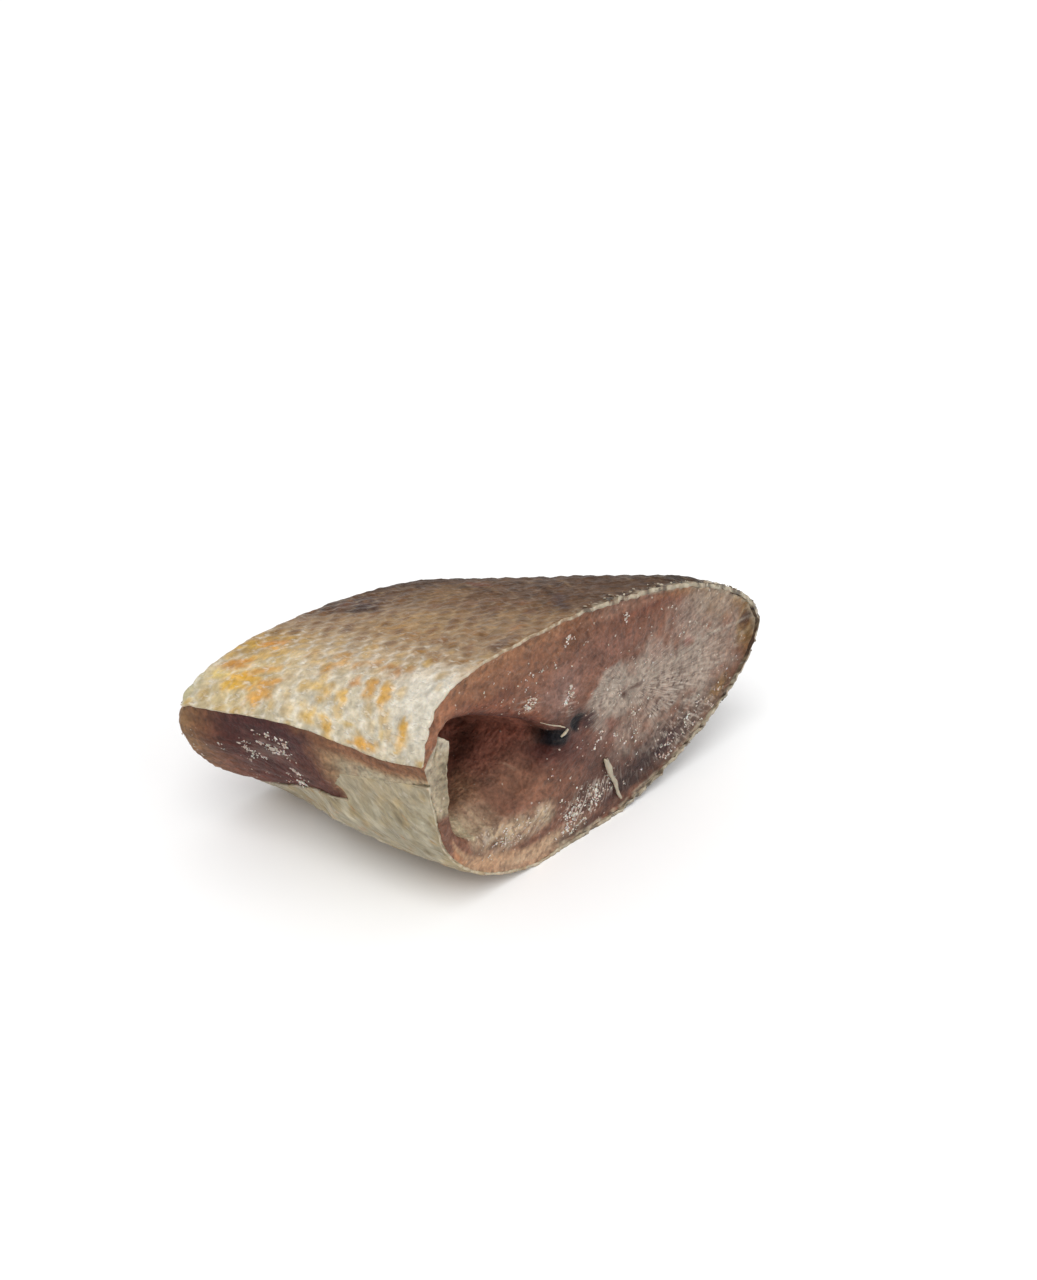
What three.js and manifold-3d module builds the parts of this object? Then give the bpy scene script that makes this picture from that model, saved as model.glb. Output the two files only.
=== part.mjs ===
// A frozen steak of yellow croaker, cut across the body behind the gut, lying on its flank.
// Millimetres, +Z up. X runs from belly to back, Y from the near cut to the rear cut.
// The steak is lofted through cross-sections. In each one X is measured from the near belly
// corner, and t is the share of the length, from 0 at the near cut to 1 at the rear cut.
import * as THREE from 'three';
import { mergeVertices } from 'three/addons/utils/BufferGeometryUtils.js';
import Module from 'manifold-3d';

// The whole steak
const NEAR_DEPTH = 96;        // belly to back at the near cut
const LENGTH = 57;            // between the two cuts
const NEAR_THICKNESS = 53.5;  // flank to flank at the near cut
const REAR_THICKNESS = 37;
const BELLY_LEAN = 10.5;      // how far the belly edge has moved out at the rear cut
const BACK_TAPER = 24;        // how far the back has come in at the rear cut
const REST_FLAT = 0.9;        // what lying on its flank has pressed flat

// The section's upper flank
const CREST = 0.25;           // place of the thickest point, as a share of the depth
const NEAR_SQUARENESS = 4;    // superellipse power of the belly's shoulder
const REAR_SQUARENESS = 2;
const FLANK_POWER = 0.588;    // how full the flank stays towards the back
const RIDGE_HEIGHT = 2;       // swelling under the back fin
const RIDGE_PLACE = 0.8;
const RIDGE_WIDTH = 0.13;

// The section's lower flank
const NEAR_KEEL = 0.41;       // place of the lowest point, as a share of the depth
const REAR_KEEL = 0.4;
const KEEL_SHIFT = 0.25;      // share of the length in which the keel moves
const LOWER_POWER = 1.9;
const NEAR_LOWER_SQUARENESS = 2;
const REAR_LOWER_SQUARENESS = 1.3;
const LOWER_SWELL = 0.2;      // extra squareness a quarter of the way in
const SWELL_PLACE = 0.25;
const NEAR_INSET = 2.9;       // lower flank behind the belly edge at half height
const REAR_INSET = 3;

// The belly: an upper flap laps over a lower one, and the rear half is trimmed to bare muscle
const EDGE_NEAR_HEIGHT = 38.2;  // height of the upper flap's skin edge
const EDGE_REAR_HEIGHT = 31;
const EDGE_DIP = 1.6;
const EDGE_DIP_END = 0.15;
const EDGE_FALL_START = 0.4;
const EDGE_FALL_SPAN = 0.75;
const FLAP_NEAR_HEIGHT = 33;    // height at which the lower flap comes out from under it
const FLAP_REAR_HEIGHT = 27;
const FLAP_END = 0.42;          // share of the length where the two flaps have grown together
const FLAP_STEP = 1.3;          // the lower flap's skin behind the upper flap's edge
const TRIM_START = 0.25;
const TRIM_SLOPE = 0.62;
const TRIM_BOW = 4.8;
const TRIM_FOOT = 8;

// The gut cavity, a leaf-shaped pocket open at the near cut
const CAVITY_BELLY_END = 6.2;   // near end of the leaf, from the near belly corner
const CAVITY_WALL_LEAN = 0.14;  // the belly wall leans in towards its free edge
const CAVITY_LENGTH = 31.5;
const CAVITY_BELLY_HEIGHT = 30;
const CAVITY_SPINE_HEIGHT = 27.2;
const CAVITY_ROOF = 25;
const CAVITY_FLOOR = 23;
const CAVITY_DEPTH = 35;
const CAVITY_DEPTH_POWER = 2.6;
const FLOOR_FLARE = 0.4;       // the floor runs out to the near cut in a shallow dish
const FLOOR_FLARE_DEPTH = 9;

// The slit between the two flaps
const SLIT_WIDTH = 0.8;
const SLIT_DEPTH = 13;
const SLIT_START = [-2.2, -3.4];  // its course, from where the lower flap comes out
const SLIT_BEND = [2.9, 9.5];
const SLIT_END = [8, 9.8];

// Steps of the mesh
const SECTIONS = 30;
const SHOULDER_STEPS = 11;
const UPPER_STEPS = 22;
const LOWER_STEPS = 20;
const BELLY_STEPS = 15;
const FLAP_STEPS = 8;
const CUT_RINGS = [0.66, 0.33]; // rings of the cut faces, as shares of the section
const CAVITY_STEPS = 15;
const CAVITY_SECTIONS = 14;
const SLIT_STEPS = 8;
const OVERSHOOT = 2;            // how far a cutter sticks out of the near cut

const { lerp, clamp, smoothstep } = THREE.MathUtils;
const powerOf = (value, power) => Math.pow(Math.max(value, 0), power);

function* steps(count) {
  for (let i = 0; i < count; i += 1) {
    yield i / count;
  }
}

// The values that place one cross-section.
function sectionFrame(t) {
  const half = (lerp(NEAR_THICKNESS, REAR_THICKNESS, t) + REST_FLAT) / 2;
  const belly = -BELLY_LEAN * t;
  const back = NEAR_DEPTH - BACK_TAPER * t;
  const fall = smoothstep((t - EDGE_FALL_START) / EDGE_FALL_SPAN, 0, 1)
    / smoothstep((1 - EDGE_FALL_START) / EDGE_FALL_SPAN, 0, 1);
  const edge = EDGE_NEAR_HEIGHT - EDGE_DIP * smoothstep(t, 0, EDGE_DIP_END)
    - (EDGE_NEAR_HEIGHT - EDGE_DIP - EDGE_REAR_HEIGHT) * fall;
  const flap = lerp(FLAP_NEAR_HEIGHT, FLAP_REAR_HEIGHT, Math.min(t / FLAP_END, 1));
  return { t, belly, depth: back - belly, half, middle: half - REST_FLAT, edge, flap };
}

// The belly's shoulder, from the upper flap's skin edge up to the crest.
function shoulder(frame) {
  const power = 2 / lerp(NEAR_SQUARENESS, REAR_SQUARENESS, frame.t);
  const start = Math.asin(powerOf((frame.edge - frame.middle) / frame.half, 1 / power));
  const inward = (angle) => 1 - powerOf(Math.cos(angle), power);
  const points = [];
  for (const u of steps(SHOULDER_STEPS)) {
    const angle = lerp(start, Math.PI / 2, u);
    const share = CREST * (inward(angle) - inward(start)) / (1 - inward(start));
    points.push([
      frame.belly + frame.depth * share,
      frame.middle + frame.half * powerOf(Math.sin(angle), power),
    ]);
  }
  return points;
}

// The upper flank, from the crest over the ridge under the back fin to the back.
function upperFlank(frame) {
  const points = [];
  for (const u of steps(UPPER_STEPS)) {
    const angle = u * Math.PI / 2;
    const share = CREST + (1 - CREST) * Math.sin(angle);
    const bump = Math.exp(-(((share - RIDGE_PLACE) / RIDGE_WIDTH) ** 2));
    const ridge = RIDGE_HEIGHT * bump * smoothstep(frame.t, 0, 0.1) * (1 - frame.t);
    points.push([
      frame.belly + frame.depth * share,
      frame.middle + frame.half * powerOf(Math.cos(angle), 2 * FLANK_POWER) + ridge,
    ]);
  }
  return points;
}

// The lower flank, from the back down to the keel it lies on.
function keelAt(t) {
  return lerp(NEAR_KEEL, REAR_KEEL, Math.min(t / KEEL_SHIFT, 1));
}

function lowerFlank(frame) {
  const keel = keelAt(frame.t);
  const points = [];
  for (const u of steps(LOWER_STEPS)) {
    const reach = Math.cos(u * Math.PI / 2);
    points.push([
      frame.belly + frame.depth * (keel + (1 - keel) * reach),
      frame.middle - frame.half * powerOf(1 - powerOf(reach, LOWER_POWER), FLANK_POWER),
    ]);
  }
  return points;
}

// The trimmed belly: nothing stays outside this bowed line.
function trimLine(frame, z) {
  const u = clamp((frame.t - TRIM_START) / (1 - TRIM_START), 0, 1);
  const slope = TRIM_SLOPE * (1 - (1 - u) ** 2);
  const share = clamp((frame.edge - z) / (frame.edge - TRIM_FOOT), 0, 1);
  const bow = TRIM_BOW * frame.t ** 2 * 4 * share * (1 - share);
  return frame.belly + slope * (frame.edge - z) - bow;
}

// The lower belly, from the keel up to where the lower flap goes under the upper one.
function lowerBelly(frame) {
  const swell = LOWER_SWELL * (frame.t / SWELL_PLACE) * Math.exp(1 - frame.t / SWELL_PLACE);
  const power = 2 / (lerp(NEAR_LOWER_SQUARENESS, REAR_LOWER_SQUARENESS, frame.t) + swell);
  const inset = lerp(NEAR_INSET, REAR_INSET, frame.t ** 2);
  const reach = keelAt(frame.t) * frame.depth;
  const points = [];
  for (const u of steps(BELLY_STEPS)) {
    const angle = (1 - u) * Math.PI / 2;
    points.push([
      frame.belly + reach - (reach - inset) * powerOf(Math.cos(angle), power),
      frame.middle - frame.half * powerOf(Math.sin(angle), power),
    ]);
  }
  for (let i = 0; i < FLAP_STEPS; i += 1) {
    const u = i / (FLAP_STEPS - 1);
    points.push([
      frame.belly + lerp(inset, FLAP_STEP, u),
      lerp(frame.middle, frame.flap, u),
    ]);
  }
  return points.map(([x, z]) => [Math.max(x, trimLine(frame, z)), z]);
}

// One whole section, run from the upper flap's edge over the back and round underneath.
function sectionPoints(t) {
  const frame = sectionFrame(t);
  const outline = [
    ...shoulder(frame), ...upperFlank(frame), ...lowerFlank(frame), ...lowerBelly(frame),
  ];
  return outline.map(([x, z]) => new THREE.Vector3(x, t * LENGTH, Math.max(z, 0)));
}

// A closed body through rings of points with equal counts, each end shut by its own rings.
function loftThrough(rings, endRings) {
  const centre = (ring) => ring.reduce((sum, p) => sum.add(p), new THREE.Vector3())
    .divideScalar(ring.length);
  const shrink = (ring, share) => ring.map((p) => centre(ring).lerp(p, share));
  const first = rings[0];
  const last = rings[rings.length - 1];
  const all = [
    ...[...endRings].reverse().map((share) => shrink(first, share)),
    ...rings,
    ...endRings.map((share) => shrink(last, share)),
  ];
  const count = first.length;
  const points = all.flat();
  const indices = [];
  for (let row = 0; row + 1 < all.length; row += 1) {
    for (let i = 0; i < count; i += 1) {
      const next = (i + 1) % count;
      const [a, b] = [row * count + i, row * count + next];
      indices.push(a, b, a + count, b, b + count, a + count);
    }
  }
  const ends = [[0, first], [(all.length - 1) * count, last]];
  ends.forEach(([base, ring], end) => {
    const hub = points.push(centre(ring)) - 1;
    for (let i = 0; i < count; i += 1) {
      const pair = [base + i, base + (i + 1) % count];
      indices.push(hub, ...(end === 0 ? pair.reverse() : pair));
    }
  });
  const geometry = new THREE.BufferGeometry();
  geometry.setAttribute('position', new THREE.Float32BufferAttribute(
    points.flatMap((p) => [p.x, p.y, p.z]), 3));
  geometry.setIndex(indices);
  return geometry;
}

function steakBody() {
  const rings = [];
  for (let i = 0; i <= SECTIONS; i += 1) {
    rings.push(sectionPoints(i / SECTIONS));
  }
  return loftThrough(rings, CUT_RINGS);
}

// The cavity's leaf outline: a blunt belly end, and a point below the backbone. The flare
// is the share by which the floor side is drawn out.
function leafOutline(flare) {
  const height = (u) => lerp(CAVITY_BELLY_HEIGHT, CAVITY_SPINE_HEIGHT, u);
  const roof = (u) => CAVITY_ROOF * powerOf(u, 0.15) * powerOf(1 - u, 0.8);
  const floor = (u) => CAVITY_FLOOR * powerOf(u, 0.35) * powerOf(1 - u, 0.9);
  const outline = [];
  for (const v of steps(CAVITY_STEPS)) {
    const u = v ** 2;
    const lean = CAVITY_WALL_LEAN * roof(u) * (1 - u);
    outline.push([CAVITY_BELLY_END + CAVITY_LENGTH * u + lean, height(u) + roof(u)]);
  }
  for (const v of steps(CAVITY_STEPS)) {
    const u = (1 - v) ** 2;
    const reach = CAVITY_LENGTH * u * (1 + flare * (1 - u));
    outline.push([CAVITY_BELLY_END + reach, height(u) - floor(u) * (1 + flare)]);
  }
  return outline;
}

// The cavity narrows and follows the body's taper on its way in.
function cavityBody() {
  const hub = [CAVITY_BELLY_END + CAVITY_LENGTH * 0.3, CAVITY_BELLY_HEIGHT];
  const rings = [];
  for (let i = -1; i <= CAVITY_SECTIONS; i += 1) {
    const inward = Math.sin((Math.max(i, 0) / CAVITY_SECTIONS) * Math.PI / 2);
    const y = CAVITY_DEPTH * inward;
    const close = powerOf(1 - powerOf(inward, CAVITY_DEPTH_POWER), 0.5);
    const flare = FLOOR_FLARE * powerOf(1 - y / FLOOR_FLARE_DEPTH, 2);
    const scale = Math.max(close, 0.05) * lerp(1, 0.9, inward);
    const frame = sectionFrame(y / LENGTH);
    const lift = frame.middle - sectionFrame(0).middle;
    rings.push(leafOutline(flare).map(([x, z]) => new THREE.Vector3(
      frame.belly + hub[0] + (x - hub[0]) * scale,
      i < 0 ? -OVERSHOOT : y,
      hub[1] + lift + (z - hub[1]) * scale,
    )));
  }
  return loftThrough(rings, []);
}

// The slit runs from under the upper flap's edge, up between the flaps, into the cavity.
function slitBody() {
  const rings = [];
  for (let i = 0; i <= SLIT_STEPS; i += 1) {
    const y = lerp(-OVERSHOOT, SLIT_DEPTH, i / SLIT_STEPS);
    const frame = sectionFrame(Math.max(y, 0) / LENGTH);
    const foot = new THREE.Vector2(frame.belly + FLAP_STEP, frame.flap);
    const path = new THREE.QuadraticBezierCurve(
      ...[SLIT_START, SLIT_BEND, SLIT_END].map(([x, z]) => new THREE.Vector2(x, z).add(foot)),
    );
    const upper = [];
    const lower = [];
    for (let j = 0; j <= SLIT_STEPS; j += 1) {
      const u = j / SLIT_STEPS;
      const place = path.getPoint(u);
      const along = path.getTangent(u);
      const across = new THREE.Vector2(-along.y, along.x).multiplyScalar(SLIT_WIDTH / 2);
      upper.push(place.clone().add(across));
      lower.push(place.clone().sub(across));
    }
    rings.push([...upper, ...lower.reverse()].map((p) => new THREE.Vector3(p.x, y, p.y)));
  }
  return loftThrough(rings, []);
}

const wasm = await Module();
wasm.setup();

function toSolid(geometry) {
  const bare = geometry.clone();
  bare.deleteAttribute('normal');
  bare.deleteAttribute('uv');
  const merged = mergeVertices(bare, 1e-4);
  return new wasm.Manifold(new wasm.Mesh({
    numProp: 3,
    vertProperties: new Float32Array(merged.attributes.position.array),
    triVerts: new Uint32Array(merged.index.array),
  }));
}

function toGeometry(solid) {
  const mesh = solid.getMesh();
  const geometry = new THREE.BufferGeometry();
  geometry.setAttribute('position', new THREE.BufferAttribute(mesh.vertProperties, 3));
  geometry.setIndex(new THREE.BufferAttribute(mesh.triVerts, 1));
  geometry.computeVertexNormals();
  return geometry;
}

function steak() {
  const solid = toSolid(steakBody())
    .subtract(toSolid(cavityBody()))
    .subtract(toSolid(slitBody()));
  const flesh = new THREE.MeshStandardMaterial({ color: '#8a6355', roughness: 0.55, metalness: 0 });
  const mesh = new THREE.Mesh(toGeometry(solid), flesh);
  mesh.name = 'steak';
  return mesh;
}

// The origin is under the middle of the steak, on the surface it lies on.
const group = new THREE.Group();
group.add(steak());
group.position.set((BELLY_LEAN - NEAR_DEPTH) / 2, -LENGTH / 2, 0);

export default group;
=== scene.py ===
"""A frozen yellow croaker steak lying on its flank: flesh, skin, sinew and frost, and a stage.

Lengths are millimetres in the steak's own frame until a mesh is made: x from belly to back,
y from the near cut to the rear cut, z up. t is the share of the length.
"""
import math
from collections import namedtuple
from functools import partial

import bmesh
import bpy
import numpy as np
from bpy.props import FloatProperty, FloatVectorProperty, IntProperty, PointerProperty
from bpy.types import Operator, Panel, PropertyGroup
from mathutils import Euler, Matrix, Vector


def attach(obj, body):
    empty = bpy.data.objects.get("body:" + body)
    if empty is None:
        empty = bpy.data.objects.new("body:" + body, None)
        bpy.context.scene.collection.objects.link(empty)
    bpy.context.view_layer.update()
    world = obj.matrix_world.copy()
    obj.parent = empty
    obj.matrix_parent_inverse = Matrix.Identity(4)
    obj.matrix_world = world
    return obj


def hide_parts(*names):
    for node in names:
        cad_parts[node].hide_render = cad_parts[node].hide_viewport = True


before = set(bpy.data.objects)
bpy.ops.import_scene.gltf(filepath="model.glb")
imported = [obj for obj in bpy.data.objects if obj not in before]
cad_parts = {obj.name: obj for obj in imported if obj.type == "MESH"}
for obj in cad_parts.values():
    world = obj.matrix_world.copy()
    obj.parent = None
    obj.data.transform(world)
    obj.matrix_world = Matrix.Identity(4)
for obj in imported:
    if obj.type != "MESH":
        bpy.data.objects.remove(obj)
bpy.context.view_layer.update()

bl_info = {
    "name": "Frozen croaker steak",
    "version": (1, 0, 0),
    "blender": (4, 5, 0),
    "location": "3D View > Sidebar > Steak",
    "description": "Builds the flesh, skin, sinew and frost of a fish steak around its solid",
    "category": "Object",
}

MM = 0.001

# The steak, as its solid is built
NEAR_DEPTH, LENGTH = 96.0, 57.0
NEAR_THICKNESS, REAR_THICKNESS = 53.5, 37.0
BELLY_LEAN, BACK_TAPER, REST_FLAT = 10.5, 24.0, 0.9
CREST, NEAR_SQUARENESS, REAR_SQUARENESS, FLANK_POWER = 0.25, 4.0, 2.0, 0.588
RIDGE_HEIGHT, RIDGE_PLACE, RIDGE_WIDTH = 2.0, 0.8, 0.13
NEAR_KEEL, REAR_KEEL, KEEL_SHIFT, LOWER_POWER = 0.41, 0.4, 0.25, 1.9
NEAR_LOWER_SQUARENESS, REAR_LOWER_SQUARENESS = 2.0, 1.3
LOWER_SWELL, SWELL_PLACE, NEAR_INSET, REAR_INSET = 0.2, 0.25, 2.9, 3.0
EDGE_NEAR_HEIGHT, EDGE_REAR_HEIGHT = 38.2, 31.0
EDGE_DIP, EDGE_DIP_END, EDGE_FALL_START, EDGE_FALL_SPAN = 1.6, 0.15, 0.4, 0.75
FLAP_NEAR_HEIGHT, FLAP_REAR_HEIGHT, FLAP_END, FLAP_STEP = 33.0, 27.0, 0.42, 1.3
TRIM_START, TRIM_SLOPE, TRIM_BOW, TRIM_FOOT = 0.25, 0.62, 4.8, 8.0
CAVITY_BELLY_END, CAVITY_WALL_LEAN, CAVITY_LENGTH = 6.2, 0.14, 31.5
CAVITY_BELLY_HEIGHT, CAVITY_SPINE_HEIGHT, CAVITY_ROOF, CAVITY_FLOOR = 30.0, 27.2, 25.0, 23.0
CAVITY_DEPTH, CAVITY_DEPTH_POWER, FLOOR_FLARE, FLOOR_FLARE_DEPTH = 35.0, 2.6, 0.4, 9.0

REAR_ROUND = 0.5            # how far the rear cut's edge is worn round
THICKEST = 2.0              # the skin's greatest thickness, as a share of its usual one

# Columns of the flesh's mesh, run from under the upper flap's edge round the section
BAND, SHOULDER, UPPER, LOWER, BELLY = 14, 60, 130, 110, 100
COLUMNS = BAND + SHOULDER + UPPER + LOWER + BELLY
TABLE_ROWS = 241

# Rows of the flesh's mesh, from the middle of the rear cut to the bottom of the cavity
REAR_ROWS, WALL_ROWS, CUT_ROWS, CAVITY_ROWS = 22, 58, 92, 36
CAVITY_STEPS = 70

# Where the skin ends on the trimmed belly: share of the length, height
TRIM_TIP = (0.342, 21.5)
TRIM_JOINT = 0.4
TRIM_EDGE = (TRIM_TIP, (0.474, 19.8), (0.56, 17.8), (0.649, 15.0), (0.737, 12.0),
             (0.825, 9.5), (0.912, 7.0), (1.0, 5.5))

# The trimmed muscle's bulges: how far out, at what height, how wide
CHEEKS = ((1.5, 25, 4), (1.3, 11, 5))

# On the near cut: the gap between the flaps, the mouth's upper rim, the blunt top of the lower
# flap, its free edge where it stands before the upper one, and a point amid the cavity
GAP = ((4.7, 42.3), (4.7, 43.1))
MOUTH_ROOF = ((4.7, 43.1), (6.0, 43.4), (8.0, 43.2), (11.0, 42.7), (14.5, 41.6),
              (18.0, 39.7), (21.5, 37.8), (25.0, 35.8), (28.7, 33.4), (32.0, 30.9),
              (34.6, 28.9), (36.4, 27.5))
FLAP_TOP = ((6.6, 30.0), (6.6, 35.0), (7.2, 38.5), (7.7, 39.9), (6.6, 41.0))
FLAP_EDGE = ((0.2, 37.0), (4.7, 42.0))
CAVITY_HUB = (CAVITY_BELLY_END + CAVITY_LENGTH * 0.3, CAVITY_BELLY_HEIGHT)

# A point y behind the near cut shows past the cavity's mouth this much further to the belly
# and higher, for each millimetre of y
SHOWS_ASIDE, SHOWS_ABOVE = 1.036, 0.9

# The centres from which the muscle's fibres and the rime's hairs fan out on the near cut
FIBRE_HUB, HAIR_HUB = (58.0, 27.0), (56.0, 0.0, 29.0)

# The skin: where its two flanks meet, as a share of the girth, and a distance that keeps their
# scales' numbers apart; the scales' pitch, the step of their rows, and their slant; and the
# length of the back's wrinkles
FLANK_SHARE, ROWS_APART = 0.52, 200
SCALE_PITCH, SCALE_ROW, SCALE_SLANT, WRINKLE = 4.2, 2.7, 0.12, 2.9

# The photograph's viewpoint and the two soft lights, in metres; lens and film in millimetres
CAMERA_PLACE, CAMERA_AIM = (-0.2509, -0.2534, 0.2561), (0.0419, 0.0294, 0.0017)
LENS, SENSOR, NEAREST = 60.0, 36.0, 0.01
KEY_PLACE, FILL_PLACE, LIGHT_AIM = (-1.65, -1.05, 3.75), (1.05, -3.75, 2.25), (0, 0, 0.02)
LIGHT_SIZE, FLOOR_REACH = 2.7, 3.0


def lerp(a, b, t):
    return a + (b - a) * t


def smooth(x):
    """An even step from 0 to 1 as x goes from 0 to 1."""
    x = np.clip(x, 0.0, 1.0)
    return x * x * (3.0 - 2.0 * x)


def above(value, start, span):
    """0 up to start, then rising evenly to 1 over the span above it."""
    return smooth((value - start) / span)


def below(value, start, span):
    """0 down to start, then rising evenly to 1 over the span below it."""
    return smooth((start - value) / span)


def power(value, exponent):
    return np.maximum(value, 0.0) ** exponent


# The form of the solid ---------------------------------------------------------------------

Section = namedtuple("Section", "belly depth half middle edge flap")


def section_values(t):
    """The belly's place, and the section's depth, half thickness and heights, at t."""
    half = (lerp(NEAR_THICKNESS, REAR_THICKNESS, t) + REST_FLAT) / 2
    belly = -BELLY_LEAN * t
    depth = NEAR_DEPTH - BACK_TAPER * t - belly
    fall = (smooth((t - EDGE_FALL_START) / EDGE_FALL_SPAN)
            / smooth((1 - EDGE_FALL_START) / EDGE_FALL_SPAN))
    edge = (EDGE_NEAR_HEIGHT - EDGE_DIP * smooth(t / EDGE_DIP_END)
            - (EDGE_NEAR_HEIGHT - EDGE_DIP - EDGE_REAR_HEIGHT) * fall)
    flap = lerp(FLAP_NEAR_HEIGHT, FLAP_REAR_HEIGHT, min(t / FLAP_END, 1))
    return Section(belly, depth, half, half - REST_FLAT, edge, flap)


def section_value(t, name):
    """One of the section's values at many places t."""
    steps = np.linspace(0, 1, 60)
    return np.interp(t, steps, [getattr(section_values(v), name) for v in steps])


def resample(points, count):
    """Evenly spaced points on a line, without its last one."""
    run = np.r_[0, np.cumsum(np.hypot(*np.diff(points, axis=0).T))]
    at = np.linspace(0, run[-1], count, endpoint=False)
    return np.stack([np.interp(at, run, points[:, i]) for i in (0, 1)], 1)


def section_line(t):
    """The section's outline at t, one point for each column."""
    belly, depth, half, middle, edge, flap = section_values(t)
    u = np.linspace(0, 1, 240)

    bend = 2 / lerp(NEAR_SQUARENESS, REAR_SQUARENESS, t)
    start = math.asin(((edge - middle) / half) ** (1 / bend))
    angle = lerp(start, math.pi / 2, u)
    inward = 1 - power(np.cos(angle), bend)
    share = CREST * (inward - inward[0]) / (1 - inward[0])
    shoulder = np.stack([belly + depth * share,
                         middle + half * power(np.sin(angle), bend)], 1)

    share = CREST + (1 - CREST) * np.sin(u * math.pi / 2)
    bump = np.exp(-(((share - RIDGE_PLACE) / RIDGE_WIDTH) ** 2))
    ridge = RIDGE_HEIGHT * bump * smooth(t / 0.1) * (1 - t)
    upper = np.stack([
        belly + depth * share,
        middle + half * power(np.cos(u * math.pi / 2), 2 * FLANK_POWER) + ridge], 1)

    keel = lerp(NEAR_KEEL, REAR_KEEL, min(t / KEEL_SHIFT, 1))
    reach = np.cos(u * math.pi / 2)
    lower = np.stack([
        belly + depth * (keel + (1 - keel) * reach),
        middle - half * power(1 - power(reach, LOWER_POWER), FLANK_POWER)], 1)

    swell = LOWER_SWELL * (t / SWELL_PLACE) * math.exp(1 - t / SWELL_PLACE)
    bend = 2 / (lerp(NEAR_LOWER_SQUARENESS, REAR_LOWER_SQUARENESS, t) + swell)
    inset = lerp(NEAR_INSET, REAR_INSET, t * t)
    reach = keel * depth
    angle = (1 - u) * math.pi / 2
    under = np.stack([belly + reach - (reach - inset) * power(np.cos(angle), bend),
                      middle - half * power(np.sin(angle), bend)], 1)
    wall = np.stack([belly + lerp(inset, FLAP_STEP, u), lerp(middle, flap, u)], 1)
    under = np.vstack([under, wall[1:]])
    lean = min(max((t - TRIM_START) / (1 - TRIM_START), 0), 1)
    slope = TRIM_SLOPE * (1 - (1 - lean) ** 2)
    share = np.clip((edge - under[:, 1]) / (edge - TRIM_FOOT), 0, 1)
    bow = TRIM_BOW * t ** 2 * 4 * share * (1 - share)
    under[:, 0] = np.maximum(under[:, 0], belly + slope * (edge - under[:, 1]) - bow)
    under = np.vstack([under[:1], under[1:][np.diff(under[:, 1]) >= 0]])

    band = np.stack([np.linspace(under[-1, 0], belly, 20),
                     np.linspace(flap, edge, 20)], 1)
    parts = ((band, BAND), (shoulder, SHOULDER), (upper, UPPER), (lower, LOWER),
             (under, BELLY))
    line = np.vstack([resample(points, count) for points, count in parts])
    line[:, 1] = np.maximum(line[:, 1], 0)
    return line


class Form:
    """The solid's outer wall as a table over t and columns, with its outward normals."""

    def __init__(self):
        self.t = np.linspace(0, 1, TABLE_ROWS)
        lines = np.array([section_line(t) for t in self.t])
        lines = np.concatenate([lines, lines[:, :1]], 1)
        y = np.broadcast_to((self.t * LENGTH)[:, None], lines.shape[:2])
        self.place = np.stack([lines[..., 0], y, lines[..., 1]], -1)
        self.face_out()
        into = np.clip((self.t * LENGTH - LENGTH) / REAR_ROUND + 1, 0, 1)
        drop = REAR_ROUND * (1 - np.sqrt(1 - into ** 2))[:, None, None]
        self.place = self.place - self.normal * np.array([1, 0, 1]) * drop
        self.place[..., 0] -= self.cheek()
        self.face_out()
        lines = self.place[..., [0, 2]]
        steps = np.hypot(np.diff(lines[..., 0]), np.diff(lines[..., 1]))
        run = np.concatenate([np.zeros((TABLE_ROWS, 1)), np.cumsum(steps, 1)], 1)
        self.girth = run - run[:, BAND:BAND + 1]
        self.whole = run[:, -1:] - run[:, BAND:BAND + 1]

    def cheek(self):
        """How far the trimmed muscle bulges out of its sawn line towards the rear cut."""
        column = np.arange(COLUMNS + 1)
        bare = np.maximum(smooth(1 - column / BAND),
                          above(column - COLUMNS + BELLY, 20, 30))
        y, z = self.place[..., 1], self.place[..., 2]
        swell = sum(out * np.exp(-((z - height) / spread) ** 2)
                    for out, height, spread in CHEEKS)
        return bare * swell * above(y, 36, 16)

    def face_out(self):
        around = np.empty_like(self.place)
        around[:, 1:-1] = self.place[:, 2:] - self.place[:, :-2]
        around[:, 0] = around[:, -1] = self.place[:, 1] - self.place[:, -2]
        along = np.gradient(self.place, axis=0)
        normal = np.cross(around, along)
        self.normal = normal / np.linalg.norm(normal, axis=-1, keepdims=True)

    def at(self, table, t, column):
        """The table's value at any t and column."""
        row = np.clip(t, 0, 1) * (TABLE_ROWS - 1)
        column = np.clip(column, 0, COLUMNS)
        i = np.minimum(row.astype(int), TABLE_ROWS - 2)
        j = np.minimum(column.astype(int), COLUMNS - 1)
        a, b = row - i, column - j
        if table.ndim == 3:
            a, b = a[..., None], b[..., None]
        return lerp(lerp(table[i, j], table[i, j + 1], b),
                    lerp(table[i + 1, j], table[i + 1, j + 1], b), a)

    def belly_column(self, t, height):
        """The column of the lower belly that lies at a height."""
        row = int(round(t * (TABLE_ROWS - 1)))
        first = COLUMNS - BELLY
        heights = self.place[row, first:, 2]
        return first + np.interp(height, heights, np.arange(BELLY + 1))


form = Form()


# Chance and noise, seeded so that each run is the same --------------------------------------

def noise(x, y, cell, seed):
    """Soft value noise from -1 to 1, with patches about one cell across."""
    table = np.random.default_rng(seed).uniform(-1, 1, (128, 128))
    u, v = x / cell + 640.0, y / cell + 640.0
    i, j = np.floor(u).astype(int), np.floor(v).astype(int)
    a, b = smooth(u - i), smooth(v - j)
    i0, i1, j0, j1 = i % 128, (i + 1) % 128, j % 128, (j + 1) % 128
    return lerp(lerp(table[i0, j0], table[i1, j0], a),
                lerp(table[i0, j1], table[i1, j1], a), b)


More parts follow.
